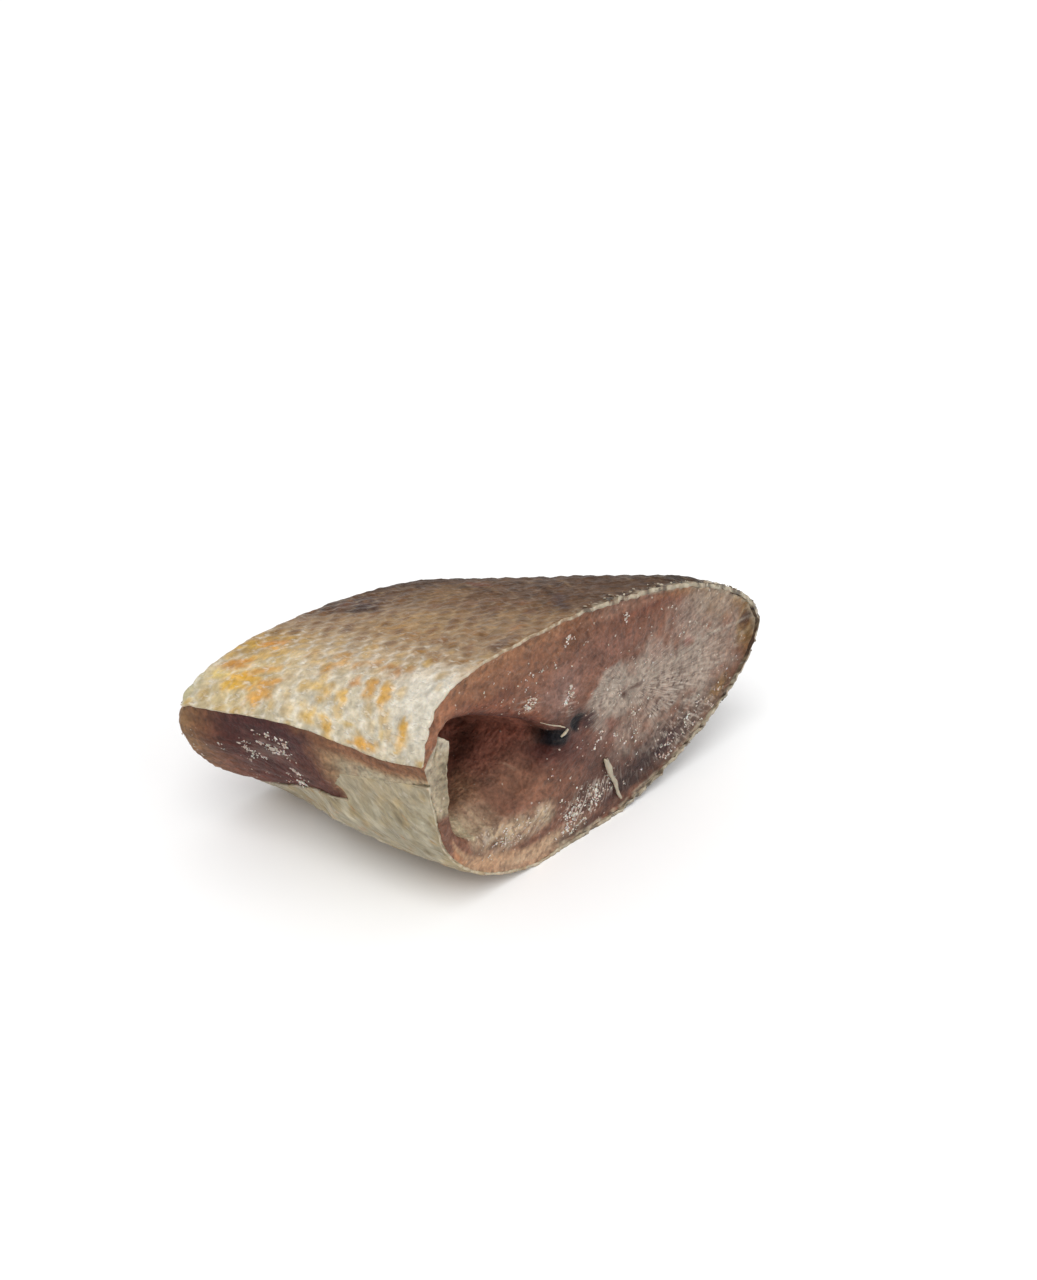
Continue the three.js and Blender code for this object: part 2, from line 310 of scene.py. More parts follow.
def rough(x, y, cell, seed, octaves=3):
    """Noise with finer noise over it."""
    total = sum(noise(x, y, cell / 2 ** k, seed + k) / 2 ** k for k in range(octaves))
    return total / 1.75


def streaks(x, y, turn, length, width, seed):
    """Noise drawn out into fibres that run at an angle of turn degrees."""
    c, s = math.cos(math.radians(turn)), math.sin(math.radians(turn))
    return noise((x * c + y * s) * width / length, -x * s + y * c, width, seed)


def linear(hex_colour):
    """An sRGB hex colour as linear light."""
    value = np.array([int(hex_colour[i:i + 2], 16) for i in (1, 3, 5)]) / 255
    return np.where(value <= 0.04045, value / 12.92, ((value + 0.055) / 1.055) ** 2.4)


def blob(x, y, cx, cy, rx, ry, turn=0.0, soft=0.5, wander=0.0):
    """1 inside a soft oval and 0 outside it; wander makes its border uneven."""
    c, s = math.cos(math.radians(turn)), math.sin(math.radians(turn))
    u, v = ((x - cx) * c + (y - cy) * s) / rx, (-(x - cx) * s + (y - cy) * c) / ry
    return smooth((1 + soft - np.hypot(u, v) - wander) / (2 * soft))


def cover(x, y, wander, rows):
    """How much ovals cover: centre, reach, turn, softness, share of wander, strength."""
    return np.maximum.reduce([blob(x, y, *oval, share * wander) * strength
                              for *oval, share, strength in rows])


def line_distance(x, y, points):
    """Distance from a line of points."""
    best = np.full(np.shape(x), 1e9)
    for (ax, ay), (bx, by) in zip(points, points[1:]):
        dx, dy = bx - ax, by - ay
        u = np.clip(((x - ax) * dx + (y - ay) * dy) / (dx * dx + dy * dy), 0, 1)
        best = np.minimum(best, np.hypot(x - ax - u * dx, y - ay - u * dy))
    return best


def curve(points, steps=12):
    """A smooth line through points."""
    p = np.array(points, float)
    p = np.vstack([2 * p[0] - p[1], p, 2 * p[-1] - p[-2]])
    u = np.linspace(0, 1, steps, endpoint=False)[:, None]
    pieces = [0.5 * (2 * b + (c - a) * u + (2 * a - 5 * b + 4 * c - d) * u ** 2
                     + (3 * b - a - 3 * c + d) * u ** 3)
              for a, b, c, d in zip(p, p[1:], p[2:], p[3:])]
    return np.vstack([*pieces, p[-2:-1]])


class Paint:
    """Layers of colour over points, with how wet and gritty each point is and how much frost
    it has; on the skin that share sets the painted glints.
    """

    def __init__(self, shape, colour, wet=0.5, grit=0.5):
        self.rgb = np.empty(shape + (3,))
        self.rgb[:] = linear(colour)
        self.wet = np.full(shape, wet)
        self.frost = np.zeros(shape)
        self.grit = np.full(shape, grit)

    def lay(self, colour, mask, wet=None):
        mask = np.clip(mask, 0, 1)
        self.rgb += (linear(colour) - self.rgb) * mask[..., None]
        if wet is not None:
            self.wet += (wet - self.wet) * mask

    def patches(self, x, y, wander, rows, over=1.0):
        """Lays ovals: colour, centre, reach, turn, softness, share of wander, strength."""
        for colour, *oval, share, strength in rows:
            self.lay(colour, blob(x, y, *oval, share * wander) * over * strength)

    def shade(self, amount):
        self.rgb *= np.clip(1 + amount, 0.05, 3)[..., None]

    def put(self, region, other):
        self.rgb[region], self.wet[region] = other.rgb, other.wet
        self.frost[region], self.grit[region] = other.frost, other.grit


# Meshes -------------------------------------------------------------------------------------

def ramp(values, stops):
    """Linear colours for values, between stops of value and hex colour."""
    places = [place for place, _ in stops]
    colours = np.array([linear(colour) for _, colour in stops])
    return np.stack([np.interp(values, places, colours[:, i]) for i in range(3)], -1)


def shaped_grid(name, place, attributes, closed=False):
    """A grid of faces bent so that its points lie at place; closed joins seam and poles."""
    rows, columns = place.shape[:2]
    bm = bmesh.new()
    bmesh.ops.create_grid(bm, x_segments=columns - 1, y_segments=rows - 1, size=1)
    start = np.array([v.co[:2] for v in bm.verts])
    i = np.rint((start[:, 1] + 1) / 2 * (rows - 1)).astype(int)
    j = np.rint((start[:, 0] + 1) / 2 * (columns - 1)).astype(int)
    mesh = bpy.data.meshes.new(name)
    bm.to_mesh(mesh)
    bm.free()
    spots = to_row_frame(place)[i, j]
    mesh.vertices.foreach_set("co", spots.astype(np.float32).ravel())
    for label, (kind, values) in attributes.items():
        field = mesh.attributes.new(label, kind, "POINT")
        key = {"FLOAT": "value", "FLOAT_COLOR": "color", "FLOAT_VECTOR": "vector"}[kind]
        field.data.foreach_set(key, values[i, j].astype(np.float32).ravel())
    if closed:
        bm = bmesh.new()
        bm.from_mesh(mesh)
        bmesh.ops.remove_doubles(bm, verts=bm.verts, dist=1e-6)
        bmesh.ops.recalc_face_normals(bm, faces=bm.faces)
        bm.to_mesh(mesh)
        bm.free()
    mesh.shade_smooth()
    return new_object(name, mesh)


def to_row_frame(place):
    """Millimetres in the steak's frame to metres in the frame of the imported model."""
    shift = np.array([(BELLY_LEAN - NEAR_DEPTH) / 2, -LENGTH / 2, 0.0])
    return (np.asarray(place) + shift) * MM


def new_object(name, data):
    thing = bpy.data.objects.new(name, data)
    bpy.context.scene.collection.objects.link(thing)
    return thing


def finish_mesh(name, bm):
    mesh = bpy.data.meshes.new(name)
    bm.to_mesh(mesh)
    bm.free()
    return new_object(name, mesh)


def paint_attributes(paint):
    rgba = np.concatenate([paint.rgb, paint.wet[..., None]], -1)
    return {"colour": ("FLOAT_COLOR", rgba), "frost_and_glint": ("FLOAT", paint.frost),
            "grit": ("FLOAT", paint.grit)}


def upward(thing):
    """Turns an open sheet's faces so that most look away from the steak's middle."""
    mesh = thing.data
    middle = Vector(to_row_frame((40.0, LENGTH / 2, 25.0)))
    side = sum(p.normal.dot(p.center - middle) for p in mesh.polygons)
    if side < 0:
        mesh.flip_normals()


# The flesh ----------------------------------------------------------------------------------

def leaf_line(y):
    """The cavity's outline at a depth y, from its top belly corner over the tip and back."""
    inward = min(y / CAVITY_DEPTH, 1)
    close = max(power(1 - inward ** CAVITY_DEPTH_POWER, 0.5), 0.05)
    scale = close * lerp(1, 0.9, inward)
    flare = FLOOR_FLARE * max(1 - y / FLOOR_FLARE_DEPTH, 0) ** 2
    v = np.linspace(0, 1, 160)

    def roof(v):
        u = v ** 2
        rise = CAVITY_ROOF * power(u, 0.15) * power(1 - u, 0.8)
        x = CAVITY_BELLY_END + CAVITY_LENGTH * u + CAVITY_WALL_LEAN * rise * (1 - u)
        return np.stack([x, lerp(CAVITY_BELLY_HEIGHT, CAVITY_SPINE_HEIGHT, u) + rise], 1)

    u = (1 - v) ** 2
    drop = CAVITY_FLOOR * power(u, 0.35) * power(1 - u, 0.9) * (1 + flare)
    floor = np.stack([CAVITY_BELLY_END + CAVITY_LENGTH * u * (1 + flare * (1 - u)),
                      lerp(CAVITY_BELLY_HEIGHT, CAVITY_SPINE_HEIGHT, u) - drop], 1)
    corner = 0.067
    over = roof(lerp(corner, 1, v))
    back = np.vstack([floor, roof(np.linspace(0, corner, 12)[1:])])
    hub = np.array(CAVITY_HUB)
    here = section_values(y / LENGTH)
    shift = np.array([here.belly, here.middle - section_values(0).middle])
    return [hub + (part - hub) * scale + shift for part in (over, back)]


def mouth_line():
    """The cavity's outline on the near cut, with the gap between the flaps."""
    over = np.vstack([GAP[0], curve(MOUTH_ROOF)])
    back = leaf_line(0)[1]
    back = back[(back[:, 1] < 28) | (back[:, 0] > 12)]
    back = back[back[:, 0] < MOUTH_ROOF[-1][0] - 0.4]
    back = np.vstack([over[-1:], back, FLAP_TOP, GAP[:1]])
    return [over, back]


def follow(parts, s):
    """Points on a two-part line, at s from 0 to 1 on the first and 1 to 2 on the second."""
    out = np.empty(s.shape + (2,))
    for index, part in enumerate(parts):
        run = np.r_[0, np.cumsum(np.hypot(*np.diff(part, axis=0).T))]
        at = np.clip(s - index, 0, 1) * run[-1]
        here = (s >= index) if index else (s < 1)
        for axis in (0, 1):
            out[..., axis] = np.where(here, np.interp(at, run, part[:, axis]),
                                      out[..., axis])
    return out


def mouth_shares(outline):
    """Where on the mouth each column ends, so that the cut face's rows never cross."""
    hub = np.array(CAVITY_HUB)
    fine = np.linspace(0, 2, 2001)
    rim = follow(mouth_line(), fine) - hub
    rim_angle = np.unwrap(np.arctan2(rim[:, 1], rim[:, 0]))
    rim_angle = np.minimum.accumulate(rim_angle)
    spoke = outline - hub
    angle = np.unwrap(np.arctan2(spoke[:, 1], spoke[:, 0]))
    s = np.interp(-angle, -rim_angle, fine)
    s = np.maximum.accumulate(s)
    gap_end, joined = 0.024, 34
    s[:BAND + 1] = np.linspace(0, gap_end, BAND + 1)
    ease = np.linspace(0, 1, joined + 1)[1:] ** 1.2
    s[BAND + 1:BAND + 1 + joined] = lerp(gap_end, s[BAND + joined], ease)
    tail = 62
    ease = (np.arange(1, tail + 1) / (tail + 1)) ** 0.8
    s[-tail:] = lerp(s[-tail - 1], 2, ease)
    return s


def bare(t, column, height):
    """1 on the bare band and trimmed muscle, 0 where skin covers, and its edge distance."""
    sections = [section_values(v) for v in t]
    edge = np.array([section.edge for section in sections])[:, None]
    flap = np.array([section.flap for section in sections])[:, None]
    times, heights = np.array(TRIM_EDGE).T
    low = np.interp(t, times, heights)[:, None]
    joint = smooth((t[:, None] - TRIM_TIP[0]) / (TRIM_JOINT - TRIM_TIP[0]))
    low = np.where(t[:, None] < TRIM_JOINT, lerp(flap, low, joint), low)
    on_belly = (column >= COLUMNS - BELLY) & (height > low)
    on_band = column <= BAND
    distance = np.minimum(edge - height, height - low)
    return np.where(on_band | on_belly, 1.0, 0.0), np.maximum(distance, 0)


# Hollows of the near cut, and swellings below 0: depth, centre, reach, turn, softness
HOLLOWS = (
    (0.5, 35.2, 27.6, 2.2, 1.7, 0, 0.5), (0.6, 41.0, 28.0, 1.6, 1.3, 0, 0.5),
    (0.5, 55.5, 27.6, 2.0, 1.0, 0, 0.6), (0.5, 92.3, 28.0, 2.2, 2.4, 0, 0.6),
    (-0.3, 62.0, 41.0, 14.0, 5.0, 8, 0.8), (-0.35, 44.0, 7.5, 7.0, 3.0, 4, 0.8),
)


def cut_relief(x, z):
    """How far the near cut lies back, in millimetres."""
    across, up = x - FIBRE_HUB[0], z - FIBRE_HUB[1]
    angle, radius = np.arctan2(up, across) * 16, np.hypot(across, up)
    back = 0.34 * rough(x, z, 6.0, 11) + 0.13 * rough(x, z, 1.6, 12)
    back += 0.12 * noise(angle, radius / 5, 1.0, 13) * above(x, 40, 8)
    back += 0.16 * streaks(x, z, -12, 9.0, 1.0, 14) * below(x, 46, 8)
    for depth, *oval in HOLLOWS:
        back += depth * blob(x, z, *oval)
    return back


def flesh_place():
    """The flesh's points: rear cut, wall, near cut and cavity, row by row."""
    columns = np.arange(COLUMNS + 1)
    t = np.linspace(1, 0, WALL_ROWS)
    grid_t, grid_c = np.meshgrid(t, columns, indexing="ij")
    wall = form.at(form.place, grid_t, grid_c.astype(float))
    normal = form.at(form.normal, grid_t, grid_c.astype(float))
    open_, distance = bare(t, grid_c, wall[..., 2])
    y, z = wall[..., 1], wall[..., 2]
    proud = open_ * smooth(distance / 2.5) * above(grid_t, 0.3, 0.12)
    lumps = (0.35 * rough(y, z, 5.0, 21) + 0.16 * streaks(y, z, 0, 6.0, 0.9, 22)
             + 0.12 * noise(y, z, 0.8, 23))
    flat = normal * np.array([1.0, 0.0, 1.0])
    wall = wall + flat * (-0.6 + proud * (0.65 + lumps))[..., None]
    slit = np.where(grid_c % COLUMNS == 0, 1.0, 0.0)
    slit += 0.4 * np.where((grid_c == 1) | (grid_c == COLUMNS - 1), 1.0, 0.0)
    slit *= 0.5 * smooth(1 - grid_t / 0.10)
    wall = wall + slit[..., None] * np.array([0.55, 0.0, 0.85])
    worn = np.exp(-(((grid_c - BAND) / 7) ** 2)) * smooth(1 - (LENGTH - y) / 3.5)
    wall = wall + worn[..., None] * np.array([1.0, -0.4, -0.3])

    outline = wall[-1]
    s = np.append(mouth_shares(outline[:-1][:, [0, 2]]), 2.0)
    mouth = follow(mouth_line(), s)
    torn = 0.22 * noise(mouth[:, 1], mouth[:, 0], 0.9, 31) * below(mouth[:, 0], 9, 2)
    mouth[:, 0] += torn * above(mouth[:, 1], 20, 3)
    w = np.linspace(0, 1, CUT_ROWS + 1)[1:, None]
    x = lerp(outline[:, 0], mouth[:, 0], w)
    z = lerp(outline[:, 2], mouth[:, 1], w)
    span = np.hypot(mouth[:, 0] - outline[:, 0], mouth[:, 1] - outline[:, 2])
    to_mouth, to_skin = (1 - w) * span, w * span
    floor = above(s, 1.02, 0.08) * below(s, 1.62, 0.15)
    roof = below(s, 0.97, 0.08) * above(s, 0.06, 0.1)
    reach = lerp(lerp(1.5, 5.5, floor), 4.4, roof)
    lip = lerp(lerp(0.8, 1.5, floor), 2.0, roof) * power(1 - to_mouth / reach, 2)
    lip *= smooth(np.minimum(s, 2 - s) / 0.12)
    fade = smooth(to_skin / 1.2)
    y = (cut_relief(x, z) + 0.25) * fade + lip
    trench = 3.2 * np.exp(-(np.minimum(columns, COLUMNS - columns) / 0.8) ** 2)
    y += trench * above(w, 0.45, 0.4)
    flap_front = below(s, 1.95, 0.05) * above(s, 1.72, 0.08)
    y -= 0.45 * flap_front * smooth(to_skin / 0.8) * smooth(to_mouth / 1.0)
    cut = np.stack([x, y, z], -1)

    depths = np.linspace(0, CAVITY_DEPTH, CAVITY_STEPS + 1)
    rings = np.array([follow(leaf_line(d), s) for d in depths])
    inward = np.sin(np.arange(1, CAVITY_ROWS + 1) / CAVITY_ROWS * math.pi / 2)[:, None]
    y = y[-1] + (CAVITY_DEPTH - y[-1]) * inward
    row = np.clip(y / CAVITY_DEPTH * CAVITY_STEPS, 0, CAVITY_STEPS - 0.001)
    i = row.astype(int)
    a = (row - i)[..., None]
    j = np.broadcast_to(columns, row.shape)
    ring = lerp(rings[i, j], rings[i + 1, j], a)
    middle = section_value(y / LENGTH, "middle") - section_values(0).middle
    shift = np.stack([section_value(y / LENGTH, "belly"), middle], -1)
    ring = lerp(mouth + shift, ring, above(y, 1.5, 7)[..., None])
    hub = ring[-1].mean(0)
    ring[-1] = hub
    spoke = ring - np.array(CAVITY_HUB)
    swell = 0.25 * rough(y, np.arctan2(spoke[..., 1], spoke[..., 0]) * 12, 5.0, 41)
    swell += 0.12 * streaks(y, np.arctan2(spoke[..., 1], spoke[..., 0]) * 12, 0, 8, 1.2, 42)
    swell *= smooth(y / 3) * smooth((CAVITY_DEPTH - y) / 5)
    ring = ring + spoke / np.linalg.norm(spoke, axis=-1, keepdims=True) * swell[..., None]
    cavity = np.stack([ring[..., 0], y, ring[..., 1]], -1)

    centre = wall[0].mean(0)
    w = np.linspace(0, 1, REAR_ROWS + 1)[:-1, None, None]
    rear = centre + (wall[0] - centre) * w
    edge = smooth((1 - w[..., 0]) * 12)
    rear[..., 1] = LENGTH - edge * (0.3 + 0.3 * rough(rear[..., 0], rear[..., 2], 6.0, 51)
                                    + 0.12 * rough(rear[..., 0], rear[..., 2], 1.8, 52))
    place = np.concatenate([rear, wall, cut, cavity])
    place[:, -1] = place[:, 0]
    return place, s


# Patches of colour, painted shade and frost on the near cut, in the order in which they are
# laid
MUSCLE_PATCHES = (
    ("#8b5d44", 4, 45, 5, 8, 0, 0.5, 0, 0.9), ("#68412a", 42.5, 48.8, 5, 3, 0, 0.8, 1, 0.8),
    ("#663c2c", 19, 42.3, 5.5, 2.2, 18, 0.8, 1, 0.7),
    ("#87675c", 37, 36.5, 4.5, 5, -30, 0.8, 1, 0.8),
    ("#704c3f", 50, 41, 8, 4.5, -10, 0.7, 1, 0.7),
    ("#66412f", 53, 46, 13, 2.2, -5, 0.8, 1, 0.55),
    ("#6d3e30", 60, 46.3, 8, 1.5, -9, 0.6, 1, 0.7),
    ("#6d4331", 61, 44.5, 7, 3, -15, 0.8, 1, 0.6),
    ("#9a7a66", 54, 48, 9, 1.2, -7, 0.7, 1, 0.4), ("#5d3f36", 42, 18, 10, 8, -8, 0.8, 1, 0.85),
    ("#7b5347", 50, 22, 3.5, 5, 0, 0.8, 1, 0.6), ("#49322c", 60, 9.5, 19, 5, 6, 0.6, 1, 0.9),
    ("#35211e", 63, 9.3, 10, 2.4, 16, 0.8, 1, 0.85),
    ("#6a564a", 80, 14, 10, 5, 24, 0.6, 1, 0.85),
)
FROSTED_CORE = ((50.5, 29.5, 6.5, 6, 0, 0.35, 1, 1), (61, 29, 11, 6.5, 5, 0.4, 1, 1),
                (75, 24.5, 14, 8.5, 8, 0.4, 1, 1))
FROSTED_VEIL = ((75, 36, 9, 6.5, 22, 0.8, 1.5, 0.7), (64, 22, 12, 8, 0, 0.9, 1.5, 0.65),
                (58, 19.5, 2.8, 5, 0, 0.8, 1, 0.5), (48.5, 23, 1.6, 3, 0, 0.8, 1, 0.6))
BLOOD_PATCHES = (
    ("#532e26", 37.5, 23.5, 6, 7, 10, 0.8, 1, 0.75),
    ("#431d18", 35.6, 24.6, 4, 3.2, 20, 0.8, 0, 0.85),
    ("#4b3a34", 39.7, 28.8, 4, 2.6, 6, 0.7, 1, 0.6),
    ("#33191a", 44.2, 26.9, 2, 1.7, 0, 0.7, 1, 0.9),
    ("#4d342c", 47.5, 13, 4, 4.5, 0, 0.8, 1, 0.6),
)
# Painted shade, near black, in the two hollows at and beside the cavity's tip: centre, reach,
# turn, softness, share of wander, strength
HOLE_SHADE = ((36.4, 26.5, 2.2, 1.9, -14, 0.4, 1, 1), (41.1, 28, 1.6, 1.35, 10, 0.4, 1, 1))
SMALL_PATCHES = (
    ("#422019", 54.8, 27.6, 1.5, 0.8, -24, 0.6, 1.6, 0.9),
    ("#4c2a22", 57.6, 28.2, 1.9, 0.7, 8, 0.6, 1.6, 0.75),
    ("#5c342c", 54.5, 29.2, 1.8, 0.8, 30, 0.6, 1.6, 0.5),
    ("#4a3830", 66, 27.6, 1, 0.5, -50, 0.6, 0, 0.85),
    ("#7a4840", 73.2, 31.6, 1.2, 0.9, 0, 0.8, 0, 0.7),
    ("#54433a", 80.4, 29.8, 1, 0.5, 0, 0.8, 1, 0.7),
    ("#3c1f1d", 51.8, 5.2, 2.6, 1.3, 0, 0.7, 1, 0.85),
    ("#3c2323", 68, 10.2, 3.2, 1.5, 20, 0.7, 1.5, 0.85),
    ("#3b2822", 56, 5.9, 4, 1.4, 8, 0.7, 1.5, 0.75),
    ("#3e2a26", 45, 2.2, 9, 0.9, 0, 0.7, 1.5, 0.7),
)
CUT_RIME = ((44, 8, 8, 3.5, 4, 0.6, 0, 1), (58, 9, 14, 4, 6, 0.8, 0, 0.15),
            (57, 19, 2.2, 4, 0, 0.8, 0, 0.7), (38.5, 34, 1.8, 3, 0, 0.8, 0, 1),
            (28, 38, 3, 2, -30, 0.8, 0, 0.8), (74, 12, 9, 4, 20, 0.8, 0, 0.6))


def paint_cut(x, z, s, to_mouth, to_skin):
    """The near cut's colours."""
    p = Paint(x.shape, "#75503f", 0.55, 0.45)
    uneven = 0.35 * rough(x, z, 5.0, 61)
    ragged = uneven + 0.35 * noise(x, z, 1.7, 68)
    low = below(s, 1.72, 0.06) * above(s, 1.0, 0.1)
    top = below(s, 1.0, 0.1)
    p.lay("#755040", above(x, 24, 14) * below(x, 66, 8) * 0.9)
    p.lay("#80573f", blob(x, z, 24, 48, 20, 5, 0, 0.6, ragged) * 0.8)
    p.lay("#8a6043", top * below(to_skin, 5.5, 4.5) * below(x, 50, 14) * 0.8)
    p.patches(x, z, ragged, MUSCLE_PATCHES)
    p.lay("#8b7055", blob(x, z, 83, 38, 9, 4.5, -28, 0.6, uneven))
    p.lay("#8c7154", top * below(to_skin, 3.5, 2.5) * above(x, 66, 6) * 0.8)
    p.lay("#8a5f40", blob(x, z, 70, 45.2, 6, 1.6, -20, 0.7, ragged) * 0.7)

    core = cover(x, z, ragged, FROSTED_CORE)
    grey = np.maximum(core, cover(x, z, ragged, FROSTED_VEIL))
    p.lay("#998a7d", grey * 0.9, 0.1)
    p.frost = np.maximum(p.frost, grey * 0.55)
    p.lay("#9d9184", core * blob(x, z, 54, 31, 8, 5, 0, 0.7) * 0.5)
    p.lay("#7b6557", grey * blob(x, z, 86, 29, 6, 7, 0, 0.7) * 0.8)
    p.lay("#84675b", grey * blob(x, z, 67, 36, 6, 3.5, 30, 0.8, ragged) * 0.7)
    p.grit = np.maximum(p.grit, grey * blob(x, z, 66, 19, 10, 9, 0, 0.6))

    p.lay("#785831", blob(x, z, 93.5, 27.5, 3.6, 6.5, 0, 0.5, uneven))
    p.lay("#472a18", blob(x, z, 92.0, 28.6, 2.0, 2.1, 0, 0.6, ragged), 0.9)
    p.lay("#5d4023", blob(x, z, 95.2, 27.0, 1.2, 4.0, 0, 0.8, ragged) * 0.8, 0.9)
    p.lay("#9a8466", below(np.abs(np.hypot(x - 92.2, z - 28.4) - 3.0), 0.9, 0.9)
          * (x < 93.5) * 0.6)
    p.lay("#7d5d36", blob(x, z, 84.5, 15.8, 3.2, 1.9, 30, 0.7, ragged) * 0.9)

    rim = low * below(to_skin, 6.6, 2.4) * below(x, 38.5, 5)
    p.lay("#a88669", rim * 0.95)
    p.lay("#b39a80", low * below(z, 6.5, 3) * above(x, 16, 5)
          * below(x, 46, 6) * (0.5 + 0.4 * rough(x, z, 2.2, 78)))
    p.lay("#94705a", rim * below(to_skin, 2.2, 1.6) * above(x, 14, 8) * 0.5)
    p.lay("#97684a", low * below(z, 27, 3) * below(x, 12, 4)
          * below(to_skin, 3.4, 0.8) * 0.95)
    p.lay("#825a45", blob(x, z, 34, 17, 8, 4, -20, 0.7, ragged) * 0.8)
    arc = line_distance(x, z, ((15.5, 14.0), (19, 12.3), (23, 10.9), (29, 10.4), (32, 11)))
    pale = below(arc, 4.2, 3.0) * (0.7 + 0.7 * rough(x, z, 1.8, 62))
    p.lay("#b09b80", pale * 0.95, 0.15)
    p.frost = np.maximum(p.frost, below(arc, 4.4, 3.5) * 0.8)
    film = line_distance(x, z, ((8.6, 24.5), (9.8, 20.0), (11.8, 17.0), (14.2, 14.6)))
    width = 2.0 - 0.10 * np.clip(24 - z, 0, 10)
    lining = smooth((width - film) / 0.5) * below(z, 26.5, 2) * (x < 16)
    p.lay("#aa9b7f", lining * 0.95, 0.4)

    flap = above(s, 1.70, 0.05) * above(z, 24.5, 1.5)
    p.lay("#a2957e", flap * 0.97, 0.3)
    p.lay("#8d7f66", flap * blob(x, z, 5.4, 30, 1.6, 7, 0, 0.8, ragged) * 0.6)
    # Painted highlight along the lower flap's outer edge
    p.lay("#beb5a3", flap * below(to_skin, 1.3, 0.7) * above(z, 31, 4), 0.7)
    p.lay("#b5aa96", flap * blob(x, z, 6.0, 40.5, 2.2, 1.4, -30, 0.5))
    p.frost *= 1 - flap
    (ax, az), (bx, bz) = FLAP_EDGE
    under = az + (x - ax) * (bz - az) / (bx - ax) - z
    front = smooth(under / 0.5) * (x < 5.2) * (z > 30.5) * (s < 0.06)
    p.lay("#a89b84", front * 0.95, 0.3)
    # Painted highlight: a pale line just under the flap's free edge
    painted_highlight = smooth(under / 0.3) * below(under, 2.2, 1.2) * (x < 5.2) * (z > 30.5)
    p.lay("#b3a893", painted_highlight * (0.6 + 0.4 * noise(x, z, 1.2, 76)), 0.6)
    p.frost *= 1 - front

    # Towards the mouth's upper rim the flesh darkens: partly its own rust red, partly painted
    # shade where the cut rolls into the cavity
    lip = top * above(x, 6.5, 3) * below(x, 35.5, 4)
    far = to_mouth + 0.9 * noise(x, z, 2.0, 77) * smooth(to_mouth / 2)
    for colour, start, fade, strength in (
            ("#7a4b36", 5.4, 3.0, 0.8), ("#683c2c", 3.4, 2.4, 0.85),
            ("#4d281f", 1.7, 1.6, 0.9)):
        p.lay(colour, lip * below(far, start, fade) * strength)

    p.patches(x, z, ragged, BLOOD_PATCHES)
    # Near-black painted shade in the two hollows
    p.lay("#0c0b10", cover(x, z, ragged, HOLE_SHADE) * 0.99, 0.6)
    p.patches(x, z, ragged, SMALL_PATCHES)

    edge = below(to_skin, 1.8, 1.1) * smooth((noise(x, z, 1.3, 69) + 0.35) / 0.5)
    fringe = edge * np.maximum(low * above(x, 35, 3), top * above(x, 48, 6) * 0.8)
    p.lay("#b0a48e", fringe * 0.6)
    p.lay("#2b2422", below(to_skin, 1.3, 0.8) * low * above(x, 36, 6)
          * above(noise(x, z, 1.1, 70), 0.25, 0.25) * 0.8)
    rime = cover(x, z, ragged, CUT_RIME)
    p.frost = np.maximum(p.frost, rime)
    p.lay("#a3927f", rime * above(noise(x, z, 1.1, 63), 0.3, 0.3) * 0.35)
    p.grit = np.maximum(p.grit, blob(x, z, 64, 10, 26, 6, 8, 0.6))
    p.frost = np.maximum(p.frost, 0.10)
    septum = line_distance(x, z, ((95, 28.2), (78.5, 30.4), (66, 28.2), (55.4, 27.9),
                                  (44.4, 27.2)))
    p.lay("#ada394", below(septum, 0.6, 0.5) * above(x, 60, 5)
          * (0.5 + 0.5 * noise(x, z, 1.6, 75)) * 0.7)
    seam = line_distance(x, z, ((47, 22.5), (47.5, 29), (53, 34.5), (61, 39.5)))
    p.lay("#8c6f63", below(seam, 0.5, 0.5) * 0.35)

    fibre = streaks(x, z, -14, 10, 0.9, 64) * below(x, 48, 8)
    p.shade(0.12 * fibre + 0.13 * rough(x, z, 3.2, 65) + 0.10 * noise(x, z, 0.9, 66))
    mottle = above(noise(x, z, 1.1, 67), 0.15, 0.4) * above(x, 50, 12)
    p.shade(-0.38 * mottle * below(z, 22, 7))
    return p


